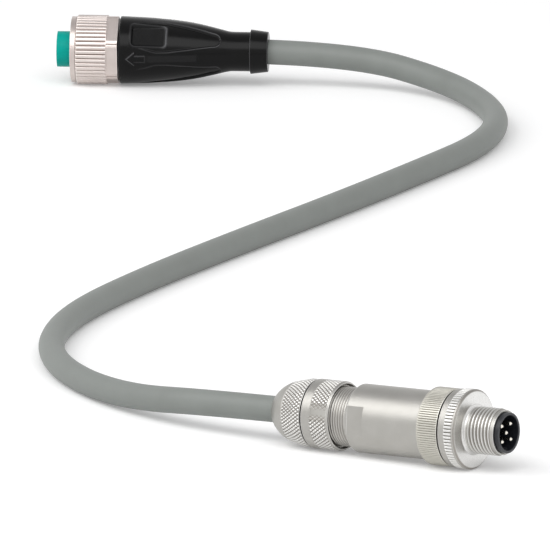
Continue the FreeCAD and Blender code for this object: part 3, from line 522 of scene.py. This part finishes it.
def gland_nut_relief(r, s, a):
    """The knurl between the smooth dome and the front edge."""
    r, mask = knurled(r, s, a, GLAND_KNURL_BACK, GLAND_KNURL_FRONT, inside=7.4)
    return (*upright_parts(r, a), s, mask)


def make_gland_nut(material):
    """The domed gland nut with its knurled band and its bore."""
    dome = bulge((DOME_BACK_RADIUS, 0), (DOME_FRONT_RADIUS, DOME_END), DOME_CURVE, count=7, step=0.3)
    profile = section(
        [
            (GLAND_HOLE, 0),
            *dome,
            (DOME_FRONT_RADIUS, 4.72, 0.12),
            (GLAND_RADIUS, 8.9, 0.12),
            (GLAND_RADIUS, GLAND_FRONT),
            (GLAND_BORE, GLAND_FRONT),
            (GLAND_BORE, 4.5),
            (GLAND_HOLE, 4.5),
        ],
        step=1.2,
    )
    nut = turned("knurled_gland_nut", profile, PLUG, material, gland_nut_relief, turns=704)
    dress(nut, "gland_nut", "plug_metal", "gland_nut")


def sleeve_relief(r, s, a):
    """The same knurl in front of a plain band, and a wrench flat on both sides."""
    r, mask = knurled(r, s, a, SLEEVE_KNURL_BACK, SLEEVE_KNURL_FRONT, inside=7.9)
    flat = np.where((s > SLEEVE_FLAT_BACK) & (r > 7.7), SLEEVE_FLAT, NO_FLAT)
    high, wide, milled = flattened(*upright_parts(r, a), SLEEVE_FLAT_LIFT, flat)
    return high, wide, s, np.where(milled, 0, mask)


def make_sleeve(material):
    """The sleeve: a stem for the gland nut, a plain band, the knurl and a thin lip over the neck."""
    profile = section(
        [
            (SLEEVE_HOLE, SLEEVE_BACK),
            (SLEEVE_STEM, SLEEVE_BACK),
            (SLEEVE_STEM, SLEEVE_BAND),
            (SLEEVE_RADIUS, SLEEVE_BAND, 0.8),
            (SLEEVE_RADIUS, SLEEVE_SHOULDER, 0.09),
            (SLEEVE_RADIUS, SLEEVE_KNURL_FRONT, 0.2),
            (8.5, SLEEVE_FRONT),
            (SLEEVE_LIP_BORE, SLEEVE_FRONT),
            (SLEEVE_LIP_BORE, 18.4),
            (SLEEVE_BORE, 18.4),
            (SLEEVE_BORE, SLEEVE_SHOULDER),
            (SLEEVE_HOLE, SLEEVE_SHOULDER),
        ],
        step=1.2,
    )
    sleeve = turned("knurled_sleeve", profile, PLUG, material, sleeve_relief, turns=704)
    dress(sleeve, "cable_assembly", "plug_metal", "gland_sleeve")


# Barrel and carrier ring, in mm
NECK_BACK, NECK_RADIUS = 13.88, 7.55
NECK_THREAD_BACK, NECK_THREAD_FRONT, NECK_THREAD_DEPTH, NECK_PITCH = 19.0, 23.6, 0.26, 0.75
BARREL_BACK, BARREL_FRONT, BARREL_RADIUS = 24.15, 46.4, 8.7
BARREL_FLAT, BARREL_FLAT_LIFT, BARREL_FLAT_BACK, BARREL_FLAT_FRONT = 7.9, 7, 24.1, 29.55
CORE_BORE, CARRIER_BORE, CARRIER_SEAT, BARREL_BORE = 6.4, 7.38, 41.67, 6.9
RING_FRONT, RING_RADIUS = 52.4, 9.85
GROOVES_BACK, GROOVES_FRONT, GROOVE_COUNT, GROOVE_DEPTH = 46.7, 52.2, 100, 0.22
SPIGOT_BACK, SPIGOT_RADIUS, SPIGOT_BORE = 41.7, 7.35, 6.3


def barrel_relief(r, s, a):
    """A fine thread on the neck, and a wrench flat on both sides behind the long smooth part."""
    neck = within(s, NECK_THREAD_BACK, NECK_THREAD_FRONT, 0.3) * (r > 6.9) * (r < 7.8)
    thread = screw_thread(s, a, NECK_PITCH)
    r = r - NECK_THREAD_DEPTH * thread * neck
    cut = (s > BARREL_FLAT_BACK) & (s < BARREL_FLAT_FRONT) & (r > 7.6)
    flat = np.where(cut, BARREL_FLAT, NO_FLAT)
    high, wide, milled = flattened(*upright_parts(r, a), BARREL_FLAT_LIFT, flat)
    # Painted highlight on the thread's crests, painted shade in its grooves and faint painted shade on the
    # flats
    return high, wide, s, crest_light_and_groove_shade(neck, thread, 0.25, 0.55) - 0.05 * milled


def make_barrel(material):
    """The long barrel with its threaded neck and its bores."""
    profile = section(
        [
            (CORE_BORE, NECK_BACK),
            (NECK_RADIUS, NECK_BACK),
            (NECK_RADIUS, NECK_THREAD_BACK, 0.1),
            (NECK_RADIUS, BARREL_BACK, 0.3),
            (8.2, BARREL_BACK),
            (BARREL_RADIUS, 24.65, 0.4),
            (BARREL_RADIUS, 29.45, 0.05),
            (BARREL_RADIUS, 29.65),
            (BARREL_RADIUS, BARREL_FRONT),
            (CARRIER_BORE, BARREL_FRONT),
            (CARRIER_BORE, CARRIER_SEAT),
            (BARREL_BORE, CARRIER_SEAT),
            (BARREL_BORE, BARREL_BACK),
            (CORE_BORE, BARREL_BACK),
        ],
        step=0.8,
    )
    barrel = turned("long_barrel", profile, PLUG, material, barrel_relief, turns=480)
    dress(barrel, "cable_assembly", "plug_metal", "barrel")


def carrier_ring_relief(r, s, a):
    """Fine straight grooves over the whole rim."""
    zone = (r > 9.5) * within(s, GROOVES_BACK, GROOVES_FRONT, 0.2)
    groove = straight_grooves(a, GROOVE_COUNT, width=0.42)
    r = r - GROOVE_DEPTH * groove * zone
    # Painted highlight on the crests and painted shade in the grooves
    return (*upright_parts(r, a), s, crest_light_and_groove_shade(zone, groove, 0.25, 0.9))


def make_carrier_ring(material):
    """The broad grooved ring with its spigot in the barrel."""
    profile = section(
        [
            (SPIGOT_BORE, SPIGOT_BACK),
            (SPIGOT_RADIUS, SPIGOT_BACK),
            (SPIGOT_RADIUS, BARREL_FRONT),
            (RING_RADIUS, BARREL_FRONT, 0.5),
            (RING_RADIUS, RING_FRONT, 0.8),
            (4.73, RING_FRONT),
            (4.73, 49.9),
            (4.33, 49.9),
            (4.33, 45.6),
            (SPIGOT_BORE, 45.6),
        ],
        step=1.2,
        fillet=0.25,
    )
    ring = turned("grooved_carrier_ring", profile, PLUG, material, carrier_ring_relief, turns=1000)
    dress(ring, "cable_assembly", "plug_metal", "carrier_ring")


# Coupling ring and pin insert, in mm
FLANGE_BACK, FLANGE_FACE, FLANGE_RADIUS = 52.85, 57.7, 10.1
TEETH_BACK, TEETH_FRONT, TOOTH_COUNT, TOOTH_DEPTH = 54.7, 56.8, 72, 0.42
BEVEL_BACK, BEVEL_FRONT = 56.85, 57.66
FLANGE_HOLE, FLANGE_SHOULDER, NOSE_ROOT = 4.77, 56.95, 5.5
NOSE_RADIUS, NOSE_BORE, NOSE_LEAD, NOSE_FRONT = 6.0, 5.22, 5.7, 66.6
NOSE_THREAD_BACK, NOSE_THREAD_FRONT, NOSE_THREAD_DEPTH = 59.3, 65.3, 0.5
INSERT_BACK, INSERT_SHOULDER, CUP_FLOOR, CUP_MOUTH = 42.0, 57.4, 59.6, 67.9
CUP_RADIUS, CUP_BORE = 5.15, 4.45
KEY_HEIGHT, KEY_HALF_WIDTH = 0.55, 0.75


def coupling_flange_relief(r, s, a):
    """Blunt teeth on the rim between the plain band and a bevel in painted shade, and a painted highlight
    on the face in front.
    """
    zone = (r > 9.4) * within(s, TEETH_BACK, TEETH_FRONT, 0.12)
    gap = straight_grooves(a, TOOTH_COUNT, width=0.5)
    bevel = within(s, BEVEL_BACK, BEVEL_FRONT, 0.1) * (r > 9.5)
    face = (s > BEVEL_FRONT) & (r > 5.6) & (r < 9.5)
    r = r - TOOTH_DEPTH * gap * zone
    # Painted highlight on the teeth, painted shade in their gaps and on the bevel, and a painted highlight
    # on the face
    return (*upright_parts(r, a), s, crest_light_and_groove_shade(zone, gap, 0.85, 0.45) - 0.4 * bevel + face)


def screw_nose_relief(r, s, a):
    """The rounded thread of the nose, and a smooth lead in front of it."""
    zone = (r > 5.8) * within(s, NOSE_THREAD_BACK, NOSE_THREAD_FRONT, 0.5)
    thread = screw_thread(s, a, M12_PITCH, sharpness=1.2)
    r = r - NOSE_THREAD_DEPTH * thread * zone
    # Painted highlight on the thread's crests and painted shade in its grooves
    return (*upright_parts(r, a), s, crest_light_and_groove_shade(zone, thread, 0.8, 0.8))


def make_coupling_ring(material):
    """The toothed flange, and in front of it the hollow M12 screw, which turns with it."""
    flange = section(
        [
            (FLANGE_HOLE, FLANGE_BACK),
            (9.9, FLANGE_BACK),
            (9.9, 54.6),
            (FLANGE_RADIUS, 54.65, 0.3),
            (FLANGE_RADIUS, 57.2, 0.15),
            (9.6, FLANGE_FACE, 0.4),
            (6.4, FLANGE_FACE, 0.2),
            (5.7, 58.1, 0.2),
            (NOSE_ROOT, 58.6),
            (5.3, 58.6),
            (5.3, FLANGE_SHOULDER),
            (FLANGE_HOLE, FLANGE_SHOULDER),
        ],
        step=0.9,
    )
    nose = section(
        [
            (NOSE_BORE, 57.0),
            (NOSE_ROOT, 57.0),
            (NOSE_ROOT, 59.0, 0.1),
            (NOSE_RADIUS, 59.2, 0.1),
            (NOSE_RADIUS, 65.4),
            (NOSE_LEAD, 65.5),
            (NOSE_LEAD, NOSE_FRONT),
            (NOSE_BORE, NOSE_FRONT),
        ],
        step=0.6,
        fillet=0.1,
    )
    for name, profile, turns, relief in (
        ("toothed_coupling_ring", flange, 1008, coupling_flange_relief),
        ("screw_nose", nose, 360, screw_nose_relief),
    ):
        piece = turned(name, profile, PLUG, material, relief, turns)
        dress(piece, "coupling_ring", "plug_metal", "coupling_ring")


def pin_insert_relief(r, s, a):
    """The key along the cup's wall, on the lower side: a strip of one width, raised towards the axis."""
    across = np.abs(r * np.sin(a))
    wall = (r > 4.2) & (r < 4.5) & (s > 59) & (s < NOSE_FRONT) & (np.cos(a) < 0)
    r = r - KEY_HEIGHT * smooth((KEY_HALF_WIDTH - across) / 0.12 + 0.5) * wall
    return (*upright_parts(r, a), s, np.zeros(r.shape))


def make_pin_insert(material):
    """The black insert: grooved stem, shoulder and the open cup round the pins."""
    profile = section(
        [
            (0, INSERT_BACK),
            (4.3, INSERT_BACK),
            (4.3, 44.71),
            (4.0, 44.71),
            (4.0, 45.57),
            (4.3, 45.57),
            (4.3, 49.9),
            (4.7, 49.9),
            (4.7, INSERT_SHOULDER),
            (CUP_RADIUS, INSERT_SHOULDER),
            (CUP_RADIUS, CUP_MOUTH),
            (CUP_BORE, CUP_MOUTH),
            (CUP_BORE, NOSE_FRONT),
            (CUP_BORE, CUP_FLOOR),
            (0, CUP_FLOOR),
        ],
        step=0.6,
        fillet=0.25,
    )
    cup = turned("pin_insert_cup", profile, PLUG, material, pin_insert_relief, turns=360)
    dress(cup, "cable_assembly", "pin_insert_plastic", "pin_insert")


# Materials: scale and height of the turning marks, then gain and shift of the stain and highlight speckle
# noises
MARK_SCALE, MARK_HEIGHT = 900.0, 1.5
STAIN_GAIN, STAIN_SHIFT = 1.8, -0.4
SPECKLE_GAIN, SPECKLE_SHIFT = 1.2, 0.2

# The studio's brightness as it shows and as it falls on the object, and the floor's own light
WORLD_SHOWN, WORLD_FALLING = 1.0, 0.6
FLOOR_GLOW = 0.2


def group_of(name, inputs, outputs):
    """An empty node group with named sockets, and its input and output nodes."""
    group = bpy.data.node_groups.new(name, "ShaderNodeTree")
    for label, kind, value in inputs:
        socket = group.interface.new_socket(label, in_out="INPUT", socket_type=kind)
        if value is not None:
            socket.default_value = value
    for label, kind in outputs:
        group.interface.new_socket(label, in_out="OUTPUT", socket_type=kind)
    return group, group.nodes.new("NodeGroupInput"), group.nodes.new("NodeGroupOutput")


def add(tree, kind, **settings):
    """A node with its settings; a name that starts with in_ is an input socket."""
    node = tree.nodes.new(f"ShaderNode{kind}")
    for key, value in settings.items():
        if key.startswith("in_"):
            node.inputs[key[3:].replace("_", " ")].default_value = value
        else:
            setattr(node, key, value)
    return node


def worked_out(tree, operation, *values, clamp=False):
    """A Math node on outputs and plain numbers, and its result."""
    node = add(tree, "Math", operation=operation, use_clamp=clamp)
    for socket, value in zip(node.inputs, values):
        if isinstance(value, (int, float)):
            socket.default_value = value
        else:
            tree.links.new(value, socket)
    return node.outputs[0]


def mixed(tree, share, first, second):
    """A colour between two others."""
    node = add(tree, "Mix", data_type="RGBA")
    tree.links.new(share, node.inputs["Factor"])
    for socket, value in (("A", first), ("B", second)):
        if isinstance(value, tuple):
            node.inputs[socket].default_value = (*value, 1)
        else:
            tree.links.new(value, node.inputs[socket])
    return node.outputs["Result"]


def make_surface_group():
    """Grain, stains, turning marks, painted highlights and painted shade, shared by all the finishes.

    Grain is fine noise and a stain is slow noise. Turning marks are noise over the station alone, so they
    run round the piece. The highlight share is the mask above zero times grain, a painted highlight, and
    the shade share is the mask below it, painted shade.
    """
    number, vector, color = "NodeSocketFloat", "NodeSocketVector", "NodeSocketColor"
    group, start, end = group_of(
        "grain_and_painted_light",
        [
            ("Place", vector, None),
            ("Turn and Station", vector, None),
            ("Light And Wear", number, 0.0),
            ("Grain Scale", number, 4000.0),
            ("Stain Scale", number, 200.0),
            ("Marks", number, 0.0),
            ("Color", color, None),
            ("Stained", color, None),
            ("Highlight And Wear", color, None),
            ("Painted Shade", color, None),
        ],
        [("Color", color), ("Height", number), ("Stain", number), ("Highlight And Wear", number), ("Painted Shade", number)],
    )
    given = start.outputs
    fine = add(group, "TexNoise", in_Detail=3.0, in_Roughness=0.65)
    slow = add(group, "TexNoise", in_Detail=3.0, in_Roughness=0.55)
    group.links.new(given["Place"], fine.inputs["Vector"])
    group.links.new(given["Grain Scale"], fine.inputs["Scale"])
    group.links.new(given["Place"], slow.inputs["Vector"])
    group.links.new(given["Stain Scale"], slow.inputs["Scale"])
    split = add(group, "SeparateXYZ")
    group.links.new(given["Turn and Station"], split.inputs[0])
    marks = add(group, "TexNoise", noise_dimensions="1D", in_Scale=MARK_SCALE, in_Detail=2.0)
    group.links.new(split.outputs["Y"], marks.inputs["W"])
    centred = worked_out(group, "SUBTRACT", marks.outputs["Fac"], 0.5)
    lines = worked_out(group, "MULTIPLY", centred, given["Marks"])
    patches = worked_out(group, "MULTIPLY_ADD", slow.outputs["Fac"], STAIN_GAIN, STAIN_SHIFT)
    stain = worked_out(group, "ADD", patches, lines, clamp=True)
    speckle = worked_out(group, "MULTIPLY_ADD", fine.outputs["Fac"], SPECKLE_GAIN, SPECKLE_SHIFT)
    # The painted highlight share, speckled by the grain, then the painted shade share
    light_and_wear_share = worked_out(group, "MULTIPLY", given["Light And Wear"], speckle, clamp=True)
    painted_shade = worked_out(group, "MULTIPLY", given["Light And Wear"], -1.0, clamp=True)
    shade = mixed(group, stain, given["Stained"], given["Color"])
    shade = mixed(group, light_and_wear_share, shade, given["Highlight And Wear"])
    shade = mixed(group, painted_shade, shade, given["Painted Shade"])
    raised = worked_out(group, "MULTIPLY", lines, MARK_HEIGHT)
    height = worked_out(group, "ADD", fine.outputs["Fac"], raised)
    group.links.new(shade, end.inputs["Color"])
    group.links.new(height, end.inputs["Height"])
    group.links.new(stain, end.inputs["Stain"])
    group.links.new(light_and_wear_share, end.inputs["Highlight And Wear"])
    group.links.new(painted_shade, end.inputs["Painted Shade"])
    return group


SURFACE = make_surface_group()


def finish_of(
    name,
    colors,
    roughness,
    metallic=0,
    bump=0.1,
    grain=4000,
    stain=200,
    marks=0.0,
    ranges=(0.06, -0.08, 0.2),
    gloss=0.5,
):
    """A finish with grain, painted highlights and painted shade.

    colors are the plain, stained, painted highlight and painted shade ones, each in linear light. The
    roughness moves by the three ranges with the stain, the highlight share and the shade share, and the
    grain lifts the surface.
    """
    material = bpy.data.materials.new(name)
    material.use_nodes = True
    tree = material.node_tree
    shader = tree.nodes["Principled BSDF"]
    shader.inputs["Metallic"].default_value = metallic
    shader.inputs["Specular IOR Level"].default_value = gloss
    where = add(tree, "TexCoord")
    light_and_wear = add(tree, "Attribute", attribute_name="light_and_wear")
    surface = add(tree, "Group", node_tree=SURFACE)
    surface.inputs["Grain Scale"].default_value = grain
    surface.inputs["Stain Scale"].default_value = stain
    surface.inputs["Marks"].default_value = marks
    for label, color in zip(("Color", "Stained", "Highlight And Wear", "Painted Shade"), colors):
        surface.inputs[label].default_value = (*color, 1)
    tree.links.new(where.outputs["Object"], surface.inputs["Place"])
    tree.links.new(where.outputs["UV"], surface.inputs["Turn and Station"])
    tree.links.new(light_and_wear.outputs["Fac"], surface.inputs["Light And Wear"])
    tree.links.new(surface.outputs["Color"], shader.inputs["Base Color"])
    stain_range, highlight_range, shade_range = ranges
    start = roughness - stain_range / 2
    rough = worked_out(tree, "MULTIPLY_ADD", surface.outputs["Stain"], stain_range, start)
    rough = worked_out(tree, "MULTIPLY_ADD", surface.outputs["Highlight And Wear"], highlight_range, rough)
    rough = worked_out(tree, "MULTIPLY_ADD", surface.outputs["Painted Shade"], shade_range, rough)
    tree.links.new(rough, shader.inputs["Roughness"])
    lift = add(tree, "Bump", in_Strength=bump, in_Distance=0.0001)
    tree.links.new(surface.outputs["Height"], lift.inputs["Height"])
    tree.links.new(lift.outputs["Normal"], shader.inputs["Normal"])
    return material


def make_camera():
    """The camera, far off and with a long lens, so that both ends come out at nearly one scale."""
    data = bpy.data.cameras.new("camera")
    data.sensor_width = SENSOR
    data.lens = SENSOR * DISTANCE / FIELD
    data.clip_start = 0.5
    data.clip_end = 60
    camera = bpy.data.objects.new("camera", data)
    bpy.context.collection.objects.link(camera)
    camera.location = (
        TARGET[0],
        TARGET[1] - math.cos(ELEVATION) * DISTANCE,
        TARGET[2] + math.sin(ELEVATION) * DISTANCE,
    )
    camera.rotation_euler = (math.pi / 2 - ELEVATION, 0, 0)
    bpy.context.scene.camera = camera


def make_cable(material):
    """The cable as one curve through the route's points, pulled towards each of them."""
    data = bpy.data.curves.new("cable_sheath", "CURVE")
    data.dimensions = "3D"
    data.bevel_depth = CABLE_RADIUS
    data.bevel_resolution = 12
    data.use_fill_caps = True
    spline = data.splines.new("NURBS")
    spline.points.add(len(ROUTE) - 1)
    spline.points.foreach_set("co", np.column_stack([ROUTE, np.ones(len(ROUTE))]).ravel())
    spline.order_u = 3
    spline.use_endpoint_u = True
    spline.resolution_u = 16
    data.materials.append(material)
    cable = bpy.data.objects.new("cable_sheath", data)
    bpy.context.collection.objects.link(cable)
    dress(cable, "cable_assembly", "cable_sheath", "cable")


def seen_directly(tree):
    """One for what the camera sees, also in a mirror or through glass, and zero for other light."""
    path = add(tree, "LightPath").outputs
    seen = worked_out(tree, "MAXIMUM", path["Is Camera Ray"], path["Is Glossy Ray"])
    return worked_out(tree, "MAXIMUM", seen, path["Is Transmission Ray"])


def make_world():
    """White round the horizon and greyer overhead; what falls on the object is weaker than what shows."""
    world = bpy.data.worlds.new("studio")
    bpy.context.scene.world = world
    world.use_nodes = True
    tree = world.node_tree
    background = tree.nodes["Background"]
    where = add(tree, "TexCoord")
    split = add(tree, "SeparateXYZ")
    tree.links.new(where.outputs["Generated"], split.inputs[0])
    height = add(tree, "MapRange", interpolation_type="SMOOTHSTEP")
    height.inputs["From Min"].default_value = 0.15
    height.inputs["From Max"].default_value = 0.9
    tree.links.new(split.outputs["Z"], height.inputs["Value"])
    sky = mixed(tree, height.outputs["Result"], (1, 1, 1), (0.62, 0.62, 0.63))
    tree.links.new(sky, background.inputs["Color"])
    seen = seen_directly(tree)
    strength = worked_out(tree, "MULTIPLY_ADD", seen, WORLD_SHOWN - WORLD_FALLING, WORLD_FALLING)
    tree.links.new(strength, background.inputs["Strength"])


def make_floor():
    """A wide white floor that keeps the shadow; its own light whitens what nothing shades."""
    bpy.ops.mesh.primitive_plane_add(size=40)
    floor = bpy.context.object
    floor.name = "floor"
    material = bpy.data.materials.new("floor")
    material.use_nodes = True
    tree = material.node_tree
    shader = tree.nodes["Principled BSDF"]
    shader.inputs["Base Color"].default_value = (0.88, 0.88, 0.88, 1)
    shader.inputs["Roughness"].default_value = 1.0
    shader.inputs["Specular IOR Level"].default_value = 0.0
    shader.inputs["Emission Color"].default_value = (1, 1, 1, 1)
    glow = worked_out(tree, "MULTIPLY", seen_directly(tree), FLOOR_GLOW)
    tree.links.new(glow, shader.inputs["Emission Strength"])
    floor.data.materials.append(material)


def soft_box(name, bearing, elevation, distance, size, glow):
    """A rectangular soft box that looks at the origin, at a bearing left of the camera."""
    data = bpy.data.lights.new(name, "AREA")
    data.shape = "RECTANGLE"
    data.size, data.size_y = size
    data.energy = math.pi * size[0] * size[1] * glow
    light = bpy.data.objects.new(name, data)
    bpy.context.collection.objects.link(light)
    tilt, turn = math.radians(elevation), math.radians(bearing)
    level = math.cos(tilt) * distance
    light.location = (-math.sin(turn) * level, -math.cos(turn) * level, math.sin(tilt) * distance)
    light.rotation_euler = (math.pi / 2 - tilt, 0, -turn)


# Finishes: plain, stained, painted highlight and painted shade colours in linear light
moulding = finish_of(
    "moulding",
    [(0.003, 0.003, 0.0032), (0.002, 0.002, 0.002), (0.11, 0.11, 0.115), (0.001, 0.001, 0.001)],
    roughness=0.22,
    grain=5000,
    stain=350,
    ranges=(0.06, -0.05, 0.1),
    gloss=0.16,
)
nut_metal = finish_of(
    "nut_metal",
    [(0.66, 0.59, 0.56), (0.57, 0.5, 0.47), (0.84, 0.79, 0.76), (0.17, 0.12, 0.105)],
    roughness=0.33,
    metallic=1,
    bump=0.3,
    grain=4500,
    stain=250,
    marks=0.5,
)
plug_metal = finish_of(
    "plug_metal",
    [(0.44, 0.43, 0.405), (0.39, 0.38, 0.355), (0.88, 0.875, 0.86), (0.19, 0.165, 0.145)],
    roughness=0.37,
    metallic=1,
    bump=0.35,
    grain=4500,
    stain=220,
    marks=0.35,
)
ring_metal = finish_of(
    "ring_metal",
    [(0.5, 0.485, 0.435), (0.44, 0.43, 0.38), (0.7, 0.685, 0.63), (0.2, 0.18, 0.15)],
    roughness=0.38,
    metallic=1,
    bump=0.3,
    grain=4500,
    stain=220,
    marks=0.2,
)
teal = finish_of(
    "teal_insert",
    [(0.0, 0.36, 0.305), (0.0, 0.33, 0.28), (0.03, 0.45, 0.38), (0.0, 0.2, 0.16)],
    roughness=0.42,
    gloss=0.12,
)
sheath = finish_of(
    "cable_sheath",
    [(0.228, 0.244, 0.23), (0.2, 0.214, 0.2), (0.28, 0.29, 0.28), (0.14, 0.15, 0.14)],
    roughness=0.5,
    bump=0.12,
    grain=2500,
    stain=120,
)
pin_plastic = finish_of(
    "pin_insert_plastic",
    [(0.013, 0.014, 0.018), (0.009, 0.01, 0.013), (0.06, 0.062, 0.07), (0.004, 0.004, 0.006)],
    roughness=0.3,
    gloss=0.4,
)
contact_plate = finish_of(
    "contact_plate",
    [(0.87, 0.84, 0.76), (0.82, 0.78, 0.69), (0.92, 0.91, 0.87), (0.4, 0.37, 0.3)],
    roughness=0.22,
    metallic=1,
    stain=400,
)
seal_rubber = finish_of(
    "seal_rubber",
    [(0.02, 0.02, 0.02), (0.012, 0.012, 0.012), (0.04, 0.04, 0.04), (0.01, 0.01, 0.01)],
    roughness=0.55,
)
steel = finish_of(
    "spring_steel",
    [(0.62, 0.62, 0.6), (0.5, 0.5, 0.5), (0.75, 0.75, 0.74), (0.3, 0.3, 0.3)],
    roughness=0.3,
    metallic=1,
)
sleeving = finish_of(
    "core_sleeving",
    [(0.35, 0.16, 0.06), (0.3, 0.13, 0.05), (0.4, 0.2, 0.1), (0.2, 0.09, 0.04)],
    roughness=0.4,
)

CAD_FINISHES = {
    "socket_insert": teal,
    "socket_seal_ring": seal_rubber,
    "carrier_seal_ring": seal_rubber,
    "gland_seal": seal_rubber,
    "insert_clip": steel,
    "thrust_washer": steel,
    "sheath_end": sheath,
}
for number in range(1, 6):
    CAD_FINISHES[f"core_{number}"] = sleeving
    CAD_FINISHES[f"plug_pin_{number}"] = contact_plate
    CAD_FINISHES[f"socket_contact_{number}"] = contact_plate
for node, material in CAD_FINISHES.items():
    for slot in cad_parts[node].material_slots:
        slot.material = material

make_grip(moulding)
make_socket_nut(nut_metal)
make_gland_nut(plug_metal)
make_sleeve(plug_metal)
make_barrel(plug_metal)
make_carrier_ring(ring_metal)
make_coupling_ring(plug_metal)
make_pin_insert(pin_plastic)
make_cable(sheath)

make_camera()
make_world()
make_floor()
soft_box("front_soft_box", bearing=0, elevation=50, distance=3.2, size=(3.6, 2.4), glow=2.2)
soft_box("left_soft_box", bearing=74, elevation=43, distance=3.2, size=(2.6, 2.2), glow=1.95)
bpy.context.scene.view_settings.view_transform = "Standard"
